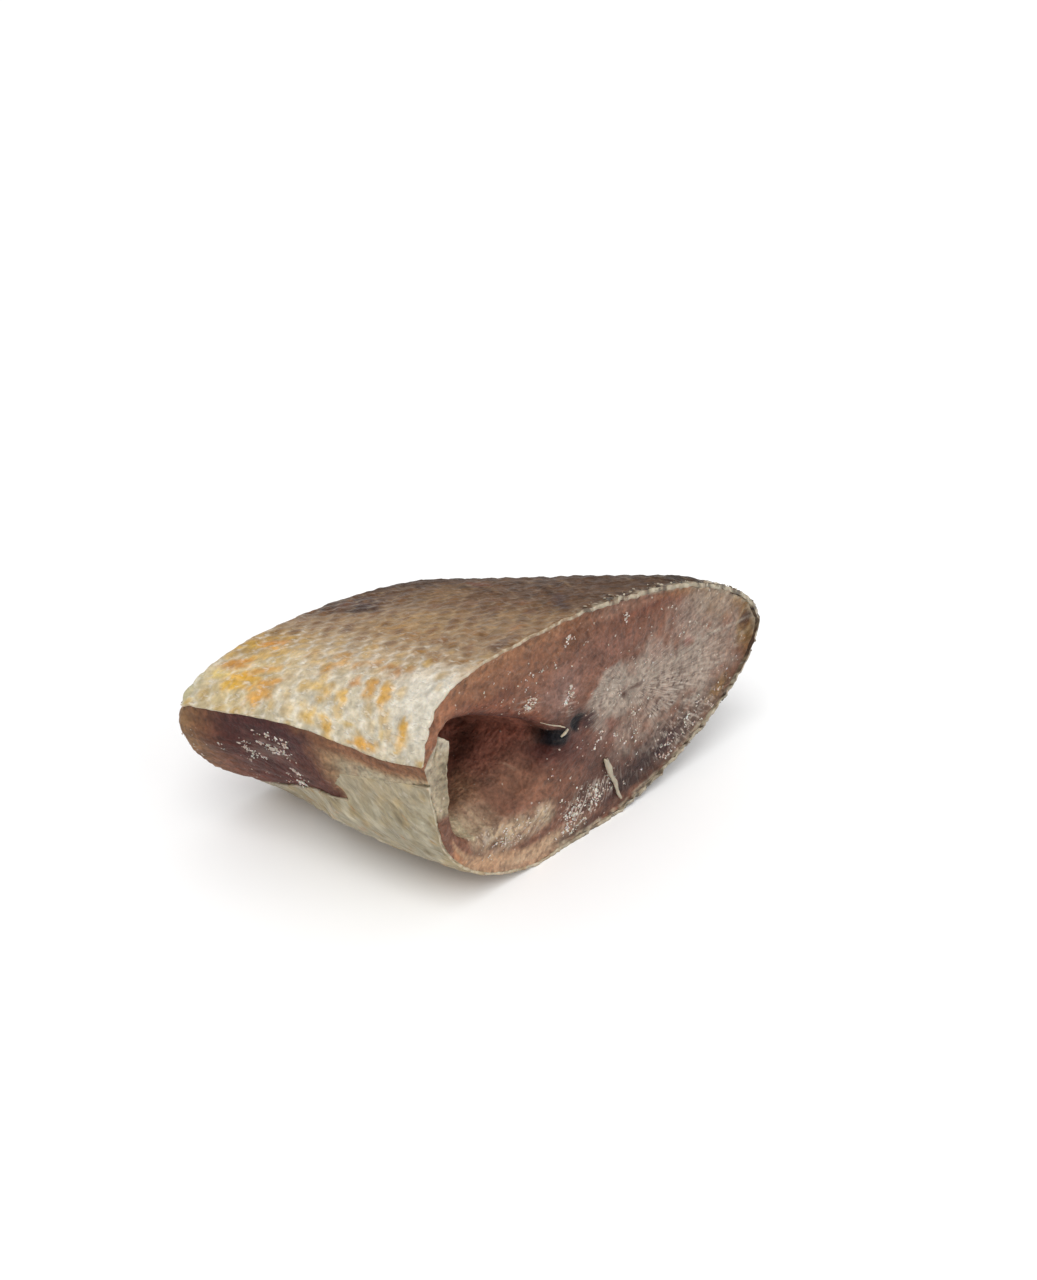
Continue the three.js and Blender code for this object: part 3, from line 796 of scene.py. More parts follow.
def paint_cavity(x, y, z):
    """The pocket's lining: dark under the roof, partly its own dark red and partly painted
    shade, with black painted shade at the tip, lighter and more orange on its floor.
    """
    p = Paint(x.shape, "#7a5040", 0.4, 0.25)
    # Where each point shows past the mouth, for the forms that run across the mouth's edge
    a, b = x - SHOWS_ASIDE * y, z + SHOWS_ABOVE * y
    uneven = 0.5 * rough(a, b, 5.0, 74)
    # Darker at the top, under the roof: the lining's own dark red with painted shade in it
    p.rgb = ramp(b + 2.0 * uneven, ((10, "#a08468"), (15, "#987554"), (20, "#8d674f"),
                                    (24, "#845d48"), (28, "#875e4d"), (33, "#9f6857"),
                                    (40, "#a36a58"), (48, "#5f342a")))
    # The first patch darkens the lining under the roof's belly end: its own dark red and
    # painted shade
    p.patches(a, b, uneven, (
        ("#33190f", 8, 36.5, 4.5, 5, -30, 0.7, 1, 0.75),
        ("#694435", 25, 27, 9, 3, -18, 0.7, 1, 0.5),
        ("#8f6c52", 8.5, 27, 3.5, 4, 0, 0.8, 1, 0.8),
        ("#4a211c", 32.5, 26, 3.6, 3.4, -20, 0.8, 1, 0.85)))
    p.lay("#a6937a", below(b, 16, 4) * below(y, 5, 4) * 0.6)
    film = line_distance(a, b, ((7.2, 26.5), (8.3, 22.0), (10.6, 18.0), (13.8, 15.0)))
    width = np.clip(2.0 - 0.12 * (24 - b), 0.5, 2.2)
    p.lay("#b3a488", smooth((width - film) / 0.5) * below(y, 7, 2) * (b < 27) * 0.95)
    p.lay("#6b4b3a", below(np.abs(film - width - 0.4), 0.5, 0.4) * (b < 26) * 0.4)
    # Black painted shade deep in the cavity's tip
    p.lay("#0d0b10", blob(a, b, 35.5, 26.7, 2.0, 1.8, 30, 0.45, 0.8 * uneven)
          * below(y, 6, 3), 0.5)
    p.lay("#b59f86", above(noise(a, b, 0.8, 73), 0.60, 0.15)
          * below(b, 33, 8) * 0.35)
    p.shade(0.22 * streaks(a, b, -26, 9, 0.9, 71) + 0.14 * rough(a, b, 3.0, 72))
    p.frost[:] = 0.06
    return p


def paint_wall(y, z):
    """The bare cut edge of the upper flap and the trimmed muscle beside it."""
    rear = LENGTH - y
    p = Paint(y.shape, "#8a6043", 0.4, 0.4)
    uneven = 0.3 * rough(rear, z, 5.0, 81)
    ragged = uneven + 0.3 * noise(rear, z, 1.6, 86)
    muscle = smooth((43.0 - rear - (z - 19) * 0.7) / 7 - 0.6 * ragged)
    p.lay("#54302a", muscle, 0.3)
    p.patches(rear, z, ragged, (
        ("#3d1f1f", 22, 31, 13, 4, 8, 0.6, 1, 0.85),
        ("#47241f", 17, 25, 8, 6, 30, 0.7, 1, 0.7),
        ("#56342b", 31, 24, 6, 4, 0, 0.7, 1, 0.8)))
    p.lay("#6b4932", smooth((13 - rear) / 9 - 0.3 * uneven) * 0.9, 0.4)
    p.lay("#7d5d42", below(rear, 5.0, 5) * 0.9, 0.4)
    p.patches(rear, z, ragged, (
        ("#8a6b4a", 1, 20, 4, 9, 0, 0.7, 1, 0.7), ("#6e4030", 6, 14, 5, 6, 40, 0.8, 1, 0.6)))
    edge = section_value(y / LENGTH, "edge")
    belt = above(rear, 31, 6) * (1 - muscle)
    under = edge - z + 0.8 * ragged
    p.lay("#80583f", belt * 0.9)
    p.lay("#93785a", belt * above(under, 2.2, 2.2) * 0.9)
    p.lay("#a2977f", belt * above(under, 3.4, 2.0) * above(rear, 35, 5) * 0.9)
    p.lay("#946a49", belt * above(noise(rear, z, 2.4, 87), 0.1, 0.5) * 0.3)
    p.shade(0.20 * streaks(rear, z, 3, 9, 0.8, 82) + 0.14 * rough(rear, z, 2.2, 83))
    p.shade(0.22 * muscle * streaks(rear, z, 48, 7, 0.8, 88) * below(z, 30, 6))
    rime = cover(rear, z, ragged, (
        (21, 27, 6.5, 3.6, 10, 0.7, 0, 1), (25, 22, 2.5, 2.5, 0, 0.7, 0, 1),
        (14, 17.5, 6, 3.5, 50, 0.8, 0, 0.6)))
    p.lay("#8a7266", above(noise(rear, z, 0.8, 84), 0.4, 0.3) * rime * 0.3, 0.4)
    p.frost = np.maximum(rime * muscle * 0.3, 0.03)
    return p


def paint_rear(x, z):
    """The rear cut, in the colours of the near one."""
    p = Paint(x.shape, "#75503f", 0.5, 0.5)
    uneven = 0.35 * rough(x, z, 5.0, 91)
    ragged = uneven + 0.35 * noise(x, z, 1.7, 94)
    p.lay("#85604a", blob(x, z, 8, 24, 12, 9, 0, 0.6, uneven) * 0.8)
    grey = cover(x, z, ragged, ((40, 20, 15, 9, 0, 0.5, 1, 1), (55, 16, 9, 6, 0, 0.5, 1, 1)))
    p.lay("#8f8073", grey * 0.8, 0.1)
    p.frost = np.maximum(grey * 0.5, 0.12)
    p.lay("#85694f", blob(x, z, 66, 17, 6, 8, 0, 0.5, uneven) * 0.8)
    p.lay("#5a3f38", blob(x, z, 34, 6, 22, 4, 0, 0.6, ragged) * 0.7)
    p.shade(0.14 * streaks(x, z, -10, 9, 0.9, 92) + 0.15 * rough(x, z, 2.4, 93))
    return p


def build_flesh():
    place, s = flesh_place()
    paint = Paint(place.shape[:2], "#8d674f")
    wall = slice(REAR_ROWS, REAR_ROWS + WALL_ROWS)
    cut = slice(wall.stop, wall.stop + CUT_ROWS)
    cavity = slice(cut.stop, cut.stop + CAVITY_ROWS)
    x, y, z = np.moveaxis(place, -1, 0)
    paint.put(slice(0, REAR_ROWS), paint_rear(x[:REAR_ROWS], z[:REAR_ROWS]))
    paint.put(wall, paint_wall(y[wall], z[wall]))
    ends = place[cut.stop - 1], place[wall.stop - 1]
    to_mouth = np.hypot(x[cut] - ends[0][:, 0], z[cut] - ends[0][:, 2])
    to_skin = np.hypot(x[cut] - ends[1][:, 0], z[cut] - ends[1][:, 2])
    share = np.broadcast_to(s, x[cut].shape)
    paint.put(cut, paint_cut(x[cut], z[cut], share, to_mouth, to_skin))
    paint.put(cavity, paint_cavity(x[cavity], y[cavity], z[cavity]))
    mouth = paint.rgb[cut.stop - 1].copy()
    for row in range(5):
        mix = smooth(row / 5)
        paint.rgb[cavity.start + row] = lerp(mouth, paint.rgb[cavity.start + row], mix)
    paint.rgb[:, -1], paint.wet[:, -1] = paint.rgb[:, 0], paint.wet[:, 0]
    return shaped_grid("flesh", place, paint_attributes(paint), closed=True)


# The skin -----------------------------------------------------------------------------------

def skin_coordinates():
    """t and column of each point of the skin, whose lower edge follows the trimmed muscle."""
    cliff = TRIM_TIP[0] - 0.02
    r = np.concatenate([np.linspace(0, cliff, 34, endpoint=False),
                        np.linspace(cliff, TRIM_TIP[0], 14, endpoint=False),
                        np.linspace(TRIM_TIP[0], 1, 62)])
    times, heights = np.array(TRIM_EDGE).T
    tip = form.belly_column(*TRIM_TIP)
    fall = smooth((r - cliff) / (TRIM_TIP[0] - cliff))
    edge = np.where(r < TRIM_TIP[0], lerp(float(COLUMNS), tip, fall), 0)
    for i in np.flatnonzero(r >= TRIM_TIP[0]):
        edge[i] = form.belly_column(r[i], np.interp(r[i], times, heights))
    keel = COLUMNS - BELLY
    start = BAND + 0.25 * noise(r * LENGTH, r * 0, 2.5, 101)
    upper = lerp(start[:, None], float(keel), np.linspace(0, 1, keel - BAND + 1))
    lower = lerp(float(keel), edge[:, None], np.linspace(0, 1, BELLY + 1)[1:])
    column = np.concatenate([upper, lower], 1)
    slant = (TRIM_JOINT - cliff) * np.minimum(r / cliff, 1)
    t = r[:, None] + slant[:, None] * smooth((column - tip) / (COLUMNS - tip))
    return t, column


def scale_cells(y, v):
    """For each point, how far its nearest scale is, the offset from it and its number."""
    j = np.rint(v / SCALE_ROW)
    best = None
    for dj in (-1, 0, 1):
        jj = j + dj
        offset = 0.5 * (jj % 2)
        i = np.rint(y / SCALE_PITCH - offset)
        dy, dv = y - (i + offset) * SCALE_PITCH, v - jj * SCALE_ROW
        d = np.hypot(dy / SCALE_PITCH, dv / SCALE_PITCH)
        if best is None:
            best = [d, dy, dv, i, jj]
        else:
            closer = d < best[0]
            best = [np.where(closer, new, old)
                    for new, old in zip((d, dy, dv, i, jj), best)]
    return best


def flank_scales(y, g, v, w, whole):
    """The nearest scale of each point; the lower flank's rows are numbered apart."""
    across = np.where(v < whole * FLANK_SHARE, v, w + ROWS_APART)
    return scale_cells(y + g * SCALE_SLANT, across)


def chance(i, j, seed):
    """One random number for each numbered scale."""
    table = np.random.default_rng(seed).uniform(0, 1, (64, 64))
    return table[i.astype(int) % 64, j.astype(int) % 64]


# Spots of the flank, as the photographed steak has them: from the rear cut, from the edge,
# their reach along and across the body, and colour
SPOTS = (
    (6, 11, 2.6, 1.5, 18, "#c08434"), (7.5, 12.6, 2.0, 0.9, 20, "#c08336"),
    (11, 7.2, 3.4, 1.7, 10, "#cf9a25"), (9.5, 5.6, 1.8, 1.0, 0, "#cfa343"),
    (14, 10.4, 3.2, 1.0, 24, "#c4914a"), (17.5, 5.0, 2.4, 2.6, 0, "#c8913f"),
    (19, 8, 2.2, 1.1, 20, "#bf8c48"), (6.6, 19, 2.6, 1.0, 14, "#c08133"),
    (6, 21.4, 2.2, 0.8, 14, "#a5803c"), (4.5, 8, 1.8, 1.2, 0, "#c9b06a"),
    (10, 14.2, 2.4, 0.9, 16, "#c8a25c"), (13.5, 16, 1.7, 1.0, 20, "#bd9a60"),
    (3.5, 17.4, 1.7, 1.4, 10, "#c9a24b"), (9.6, 17.2, 1.8, 0.8, 10, "#cc9440"),
    (20, 17, 1.3, 1.0, 20, "#b48f5c"), (24, 14.5, 1.4, 1.1, 20, "#c0a06a"),
    (28, 13, 1.4, 1.2, 30, "#bb863c"), (27, 17.5, 1.2, 1.2, 30, "#b0854c"),
    (29.3, 16.4, 1.0, 1.4, 30, "#b98a4a"),
    (32, 8, 1.2, 1.5, 40, "#c49a48"), (28.5, 8.5, 1.6, 1.1, 30, "#c9a866"),
    (36, 8.5, 1.0, 1.5, 30, "#c69d50"), (36.5, 12, 1.1, 1.0, 30, "#bd8240"),
    (40.5, 12, 1.4, 1.6, 40, "#bd862c"), (45, 11.5, 1.4, 1.9, 30, "#cc962e"),
    (43.5, 17.3, 1.8, 1.3, 30, "#a06f3e"), (40.5, 17.5, 1.3, 1.0, 30, "#a97c4a"),
    (31, 3, 1.9, 1.5, 0, "#c9a45a"), (35.6, 2, 0.9, 1.7, 30, "#c99a3c"),
    (44.5, 1.6, 2.8, 0.9, 14, "#cf9426"), (40, 3.6, 1.3, 0.7, 10, "#cdac64"),
    (52, 6, 1.0, 2.4, -8, "#cd9a35"), (51.5, 2.4, 0.8, 1.0, 0, "#c9a14e"),
    (47.5, 5.2, 0.7, 1.1, 30, "#cdb27a"), (33, 15.8, 1.2, 1.1, 30, "#b28c60"),
    (36.5, 17.5, 1.0, 1.1, 30, "#a9825a"), (42, 24, 1.5, 0.9, 24, "#8c6632"),
    (47, 23.4, 1.4, 1.4, 30, "#7c552a"), (52.5, 24, 1.5, 1.2, 30, "#866238"),
    (36.0, 24, 1.3, 0.9, 20, "#927048"), (31, 22.5, 1.4, 0.8, 20, "#a48258"),
    (32, 29.0, 1.6, 1.2, 20, "#947148"), (36, 28.8, 2.1, 1.5, 24, "#86633c"),
    (40.5, 29.2, 1.5, 1.8, 30, "#866340"), (44.6, 29, 1.2, 1.9, 30, "#7c5a34"),
    (49.5, 29.6, 1.2, 1.6, 40, "#765438"), (54.6, 31.0, 1.6, 3.0, 10, "#5f4230"),
    (44.6, 34.6, 1.2, 1.9, 30, "#85633f"), (48.5, 34.8, 1.3, 1.7, 30, "#7c5a38"),
    (51.6, 39, 1.1, 3.0, 36, "#8f6845"), (24.5, 43.5, 1.6, 1.4, 0, "#76543a"),
    (34, 51.2, 1.7, 1.1, 20, "#6a472f"), (41, 51.6, 1.6, 1.2, 20, "#6a4830"),
    (38.4, 46.2, 1.5, 1.1, 20, "#70503a"), (30.5, 47.0, 1.6, 1.1, 20, "#775539"),
    (46.8, 47.5, 1.4, 1.2, 20, "#6e4e38"), (50, 53.5, 4.2, 1.1, -36, "#3f2d29"),
    (46, 57, 3.2, 1.0, -36, "#54403a"), (19.5, 61.5, 3.0, 1.6, -20, "#684232"),
)


# Broad patches of colour on the upper flank, from the rear cut and the belly edge
SILVER_PATCHES = (
    ("#cac4b6", 53, 12, 8, 8, 0, 0.7, 0.4, 0.9), ("#c4bba6", 40, 6, 16, 7, 0, 0.7, 0.4, 0.6),
    ("#bda468", 11, 9, 9, 8, 10, 0.8, 0.5, 0.5),
    ("#a07c42", 5, 20, 9, 4.5, 14, 0.8, 0.5, 0.85),
)
TAN_PATCHES = (("#97784f", 29, 34, 11, 7, 6, 0.6, 0.5, 0.7),
               ("#8e6c42", 26, 31, 3.5, 4, -30, 0.8, 0.5, 0.6))
BACK_PATCHES = (
    ("#7b6043", 19, 52, 5, 8, 20, 0.8, 1, 0.7), ("#8f7353", 48, 43, 9, 5, 0, 0.8, 1, 0.6),
    ("#4f3627", 4, 46, 8, 14, 0, 0.8, 1, 0.7), ("#50392b", 11, 71, 18, 6, 0, 0.8, 1, 0.7),
)


def paint_skin(y, v, w, whole):
    """The flank's colours. v and w are the girth from the upper and the lower belly edge."""
    rear = LENGTH - y
    top = v < whole * FLANK_SHARE
    low = ~top
    g = np.where(top, v, w)
    uneven = rough(y, v, 9.0, 111)
    ragged = uneven + 0.4 * noise(y, v, 2.2, 123)
    p = Paint(y.shape, "#b9ab90", 0.75, 0.35)
    p.rgb = ramp(g + 2.4 * ragged + np.where(top, 0.0, -10.0), (
        (0, "#b5a88c"), (6, "#bcae94"), (12, "#bba98c"), (18, "#b39d80"), (24, "#a58c6c"),
        (30, "#93795c"), (38, "#83684b"), (45, "#6e533b"), (54, "#593f2d"),
        (66, "#533b2b"), (90, "#4b382a")))
    p.patches(rear, v, ragged, SILVER_PATCHES, top)
    p.lay("#aeaa88", below(rear, 4, 4) * below(g, 12, 8) * top * 0.7)

    p.lay("#99907a", low * below(w, 34, 10) * 0.95)
    p.lay("#91866c", low * below(w, 14, 8) * above(rear, 26, 10) * 0.6)
    p.lay("#a28c5c", low * above(rough(y, v, 5.0, 112), 0.05, 0.4) * 0.35)
    # Pale patches on the lower flap: painted highlights of its wet sheen
    p.lay("#b5ad97", low * above(noise(y, v, 2.6, 124), 0.15, 0.35) * 0.6)
    p.lay("#827358", low * above(-noise(y * 0.5, v, 2.0, 136), 0.2, 0.4) * 0.5)
    p.lay("#a3703c", low * above(noise(y, v, 1.7, 137), 0.6, 0.2) * 0.5)
    p.lay("#a0957e", low * below(w, 10.0, 8.0) * above(rear, 34, 5) * 0.8)
    p.lay("#a2957c", low * below(w, 3.0, 3.0) * above(rear, 33, 5)
          * below(rear, 56, 8) * 0.9)
    p.lay("#b0a286", low * below(w, 2.6, 2.2) * below(rear, 34, 4) * 0.7)

    p.patches(rear, v, uneven, TAN_PATCHES, top)
    p.patches(rear, v, ragged, BACK_PATCHES, top)
    wave = 0.5 + 0.5 * np.sin(ripple_phase(y, g) + 2.2 * uneven)
    patchy = np.clip(0.5 + 0.8 * rough(y, v, 5.0, 113), 0, 1)
    p.lay("#3f2a1e", wave * above(g, 48, 16) * 0.5 * patchy)
    p.lay("#8d7053", (1 - wave) * above(g, 42, 14) * below(g, 80, 14) * 0.4 * patchy)
    hairs = streaks(y + 0.6 * g, g, 24, 9, 0.7, 125)
    p.lay("#9c8263", above(hairs, 0.35, 0.4) * above(g, 46, 14) * 0.3)
    p.lay("#2e1f18", above(-hairs, 0.4, 0.3) * above(g, 46, 14) * 0.45)

    upper_side = 50 - 12 * (rear / 16.5) ** 2
    lower_side = 32.5 + 4.5 * rear / 16.5
    leaf = np.minimum(smooth((upper_side - v) / 3 + 0.4 * ragged),
                      smooth((v - lower_side) / 1.8 + 0.3 * ragged))
    leaf *= below(rear, 17, 1.2) * top
    p.lay("#38221b", leaf * 0.9)
    p.lay("#59392f", leaf * above(noise(y, v, 1.8, 126), 0.1, 0.4) * 0.5)
    p.lay("#2a1713", leaf * above(-noise(y, v, 1.6, 127), 0.2, 0.4) * 0.6)
    p.lay("#4a372b", below(rear, 4.5, 3) * above(g, 32, 8) * top * 0.8)
    p.lay("#3d2d23", below(rear, 16, 10) * above(g, 50, 10) * top * 0.45)
    spine = above(g, 74, 9)
    p.lay("#35281f", spine * (0.5 + 0.5 * noise(y, v, 1.9, 114)))
    p.lay("#7b6d57", spine * above(noise(y * 0.6, v, 1.1, 115), 0.25, 0.3) * 0.45)

    d, dy, dv, i, j = flank_scales(y, g, v, w, whole)
    odds, size, hue = chance(i, j, 116), chance(i, j, 117), chance(i, j, 118)
    shift_y, shift_v = 0.55 * noise(y, v, 1.5, 128), 0.55 * noise(y, v, 1.5, 129)
    reach = 0.6 + 0.55 * size
    oval = np.hypot(dy - 0.35 * dv + shift_y, (dv + shift_v) / 1.5) / reach
    spot = below(oval, 1.7, 1.3)
    yellow = below(g, 30, 8) * (odds < 0.45) * (0.2 + 0.5 * hue)
    tan = above(g, 20, 6) * below(g, 58, 12) * (odds > 0.35) * (0.3 + 0.6 * hue)
    p.lay("#b8944f", spot * yellow * np.where(top, 1.0, 0.35))
    p.lay("#6f4e31", spot * tan * np.where(top, 1.0, 0.5))
    net = above(d, 0.33, 0.2)
    p.lay("#e0dacd", net * below(g, 30, 10) * top * 0.6)
    p.lay("#b0946f", net * above(g, 26, 8) * below(g, 58, 10) * 0.45)
    for cx, cy, rx, ry, turn, colour in SPOTS:
        near = (np.abs(rear - cx) < 8) & (np.abs(v - cy) < 8) & top
        if near.any():
            mask = np.zeros(y.shape)
            mask[near] = blob((rear + shift_y)[near], (v + shift_v)[near], cx, cy, rx, ry,
                              turn, 0.85, 0.6 * noise(y, v, 0.9, 130)[near])
            p.lay(colour, mask * 0.85)
    p.shade(0.07 * rough(y, v, 4.0, 121) + 0.06 * noise(y, v, 1.1, 120))
    # On the skin, frost is the share of painted glints: most on the pale belly side, less
    # towards the back, an even share on the lower flank
    p.frost = np.where(top, below(g, 38, 18) * 0.7 + 0.2 * below(g, 70, 10), 0.40)
    p.grit = np.where(top, above(g, 26, 14) * 0.7, 0.25)
    p.wet = np.clip(p.wet - 0.45 * above(g, 36, 18) + 0.3 * rough(y, v, 3.0, 122), 0, 1)
    near_rim = smooth(1 - y / 1.8) * above(g, 44, 10)
    speckle = noise(v, y * 0.6, 0.9, 135)
    p.lay("#a89c86", near_rim * smooth((speckle + 0.1) / 0.3) * below(g, 116, 12) * 0.6)
    p.lay("#2c2420", near_rim * above(-speckle, 0.25, 0.25) * 0.7)
    return p


def ripple_phase(y, g):
    """The phase of the skin's wrinkles, which slant more towards the back."""
    across = y + 0.15 * g + 0.85 * 12 * np.logaddexp(0, (g - 36) / 12)
    return across * 2 * math.pi / WRINKLE


def skin_relief(y, v, w, whole):
    g = np.minimum(v, w)
    d, dy = flank_scales(y, g, v, w, whole)[:2]
    dome = (0.30 - d) * 0.5 + 0.10 * dy / SCALE_PITCH
    wave = np.sin(ripple_phase(y, g) + 2.2 * rough(y, v, 9.0, 111))
    lift = dome * lerp(0.75, 1.25, above(g, 20, 20))
    lift += 0.20 * wave * above(g, 36, 16) * (0.5 + 0.5 * rough(y, v, 6.0, 131))
    lift += 0.26 * rough(y, v, 7.0, 132) + 0.10 * noise(y, v, 1.2, 133)
    lift += 0.12 * streaks(y, v, 40, 4, 1.3, 134) * below(g, 46, 12)
    return lift


def build_skin(thickness):
    t, column = skin_coordinates()
    place = form.at(form.place, t, column)
    normal = form.at(form.normal, t, column)
    v = form.at(form.girth, t, column)
    whole = form.at(np.broadcast_to(form.whole, form.girth.shape), t, column)
    w = whole - v
    g = np.minimum(v, w)
    y = place[..., 1].copy()
    lift = skin_relief(y, v, w, whole)
    at_edge = smooth(np.minimum(y, LENGTH - y) / 1.5)
    lift *= lerp(0.35, 1.0, at_edge) * smooth((v + 0.6) / 1.5)
    # Towards the back the saw left a thick, torn fringe of skin and scale at the near cut
    fringe = above(g, 46, 12) * below(g, 126, 10)
    torn = 0.35 + 0.9 * noise(v, v * 0, 2.1, 143) + 0.5 * noise(v, y, 0.8, 144)
    lift += fringe * smooth(1 - y / 2.2) * np.maximum(torn, 0) * 0.35
    sink = smooth(1 - (w - 0.4) / 3.0) * above(y, 1.0, 3) * below(y, TRIM_JOINT * LENGTH, 2)
    lift = lerp(lift - 0.05, -thickness + 0.12, sink)
    place = place + normal * lift[..., None]
    ragged = 0.22 * noise(v, v * 0, 1.6, 141) + 0.1 * noise(v, v * 0, 0.6, 142)
    ragged = ragged - 0.15 - fringe * 0.35 * np.maximum(noise(v, v * 0, 0.8, 145), 0)
    place[..., 1] += ragged * smooth(1 - y / 1.2)
    place[..., 1] -= np.clip(ragged, -0.3, 0.3) * smooth(1 - (LENGTH - y) / 1.2)
    # The corner where the skin's edge meets the rear cut is worn round
    place[..., 1] -= 1.3 * below(v, 3.5, 3.5) ** 2 * smooth(1 - (LENGTH - y) / 3)
    place[..., 2] = np.maximum(place[..., 2], 0.0)
    paint = paint_skin(y, v, w, whole)
    attributes = paint_attributes(paint)
    attributes["on_skin"] = ("FLOAT_VECTOR", np.stack([y, v, v * 0], -1) * MM)
    body = lerp(lerp(1.0, 1.35, fringe * smooth(1 - y / 4.0)), 0.25, sink)
    attributes["thickness"] = ("FLOAT", body / THICKEST)
    skin = shaped_grid("skin", place, attributes)
    upward(skin)
    group = skin.vertex_groups.new(name="thickness")
    for index, item in enumerate(skin.data.attributes["thickness"].data):
        group.add([index], item.value, "REPLACE")
    wall = skin.modifiers.new("wall", "SOLIDIFY")
    wall.thickness = thickness * THICKEST * MM
    wall.offset = -1
    wall.use_rim = True
    wall.material_offset_rim = 1
    wall.vertex_group = group.name
    return skin


# Frost and sinew ----------------------------------------------------------------------------

def cut_point(x, z):
    return np.array([x, cut_relief(np.float64(x), np.float64(z)) + 0.2, z]), (0, -1, 0)


def trim_point(rear, z):
    """A point on the bare muscle, from its distance to the rear cut and its height."""
    t = 1 - rear / LENGTH
    column = form.belly_column(t, z)
    section = section_values(t)
    if z > section.flap:
        column = BAND * min((z - section.flap) / (section.edge - section.flap), 1)
    at = [np.array(t), np.array(float(column))]
    normal = form.at(form.normal, *at)
    return form.at(form.place, *at), normal


# Clusters of rime: kind of surface, centre, reach, number of crystals, size
RIME = (
    ("trim", 23.0, 29.0, 2.6, 1.8, 42, 0.36), ("trim", 18.0, 28.6, 1.4, 1.6, 14, 0.30),
    ("trim", 21.0, 27.0, 4.4, 1.8, 24, 0.30), ("trim", 25.0, 22.8, 2.2, 1.9, 22, 0.36),
    ("trim", 15.5, 26.0, 1.6, 2.8, 14, 0.30), ("trim", 18.0, 20.0, 6.4, 4.8, 60, 0.26),
    ("trim", 10.0, 16.0, 3.4, 4.4, 12, 0.24), ("trim", 1.2, 20.0, 0.8, 2.0, 16, 0.38),
    ("trim", 23.0, 19.5, 4.0, 2.4, 16, 0.28),
    ("cut", 43.0, 8.0, 6.5, 3.6, 56, 0.27), ("cut", 46.0, 7.4, 4.0, 2.6, 12, 0.36),
    ("cut", 38.5, 6.0, 2.6, 3.0, 22, 0.30), ("cut", 55.0, 8.5, 12.0, 4.0, 28, 0.20),
    ("cut", 68.5, 9.0, 4.5, 2.6, 18, 0.26), ("cut", 57.5, 19.0, 1.8, 4.2, 20, 0.26),
    ("cut", 38.7, 34.0, 1.6, 2.8, 16, 0.30), ("cut", 27.6, 37.6, 2.0, 1.5, 16, 0.34),
    ("cut", 47.6, 21.5, 1.6, 2.8, 12, 0.26),
    ("cut", 24.0, 11.0, 7.0, 2.8, 50, 0.22), ("cut", 78.0, 12.0, 10.0, 4.5, 44, 0.22),
    ("cut", 30.0, 44.0, 18.0, 4.5, 40, 0.18), ("cut", 54.2, 45.6, 0.6, 1.3, 8, 0.26),
    ("cut", 38.0, 48.0, 1.4, 0.9, 6, 0.26), ("cut", 66.0, 34.0, 16.0, 10.0, 44, 0.17),
    ("cut", 40.0, 3.2, 5.0, 0.9, 22, 0.26), ("cut", 52.0, 20.0, 10.0, 9.0, 30, 0.18),
    ("cut", 88.0, 18.0, 5.0, 4.0, 16, 0.2), ("cut", 30.0, 20.0, 9.0, 5.0, 16, 0.16),
)


def clear_of_edges():
    """A test for places on the near cut that are flesh, inside its outline, off the mouth."""
    outline = form.place[0][::2, [0, 2]]
    mouth = np.vstack(mouth_line())[::2]

    def inside(line, x, z):
        ax, az = line.T
        bx, bz = np.roll(line, -1, 0).T
        with np.errstate(divide="ignore", invalid="ignore"):
            crossing = ax + (z - az) / (bz - az) * (bx - ax)
        return np.count_nonzero(((az > z) != (bz > z)) & (x < crossing)) % 2 == 1

    def test(x, z):
        nearest = min(np.hypot(*(line - (x, z)).T).min() for line in (outline, mouth))
        return inside(outline, x, z) and not inside(mouth, x, z) and nearest > 0.7
    return test


def build_frost():
    """Rime on the cuts: clumps of small ice grains, each flat against the flesh."""
    rng = np.random.default_rng(151)
    on_cut = clear_of_edges()
    bm = bmesh.new()
    for surface, cx, cz, rx, rz, clumps, size in RIME:
        for _ in range(clumps):
            a, b = np.clip(rng.normal(0, 0.55, 2), -1.4, 1.4)
            middle = np.array([cx + a * rx, cz + b * rz])
            big = size * rng.uniform(0.45, 1.25)
            for _ in range(rng.integers(1, 7)):
                x, z = middle + rng.normal(0, big * 0.9, 2)
                reach = big * rng.uniform(0.3, 0.9)
                turn = Euler(rng.uniform(0, math.tau, 3)).to_matrix().to_4x4()
                stretch = Matrix.Diagonal((*(rng.uniform(0.6, 1.4, 2)), 0.7, 1))
                if surface == "cut" and not on_cut(x, z):
                    continue
                place, normal = (cut_point if surface == "cut" else trim_point)(x, z)
                facing = Vector(normal).to_track_quat("Z", "Y").to_matrix().to_4x4()
                spot = Matrix.Translation(Vector(to_row_frame(place)))
                bmesh.ops.create_icosphere(bm, subdivisions=1, radius=reach * MM,
                                           matrix=spot @ facing @ stretch @ turn)
    return finish_mesh("rime", bm)


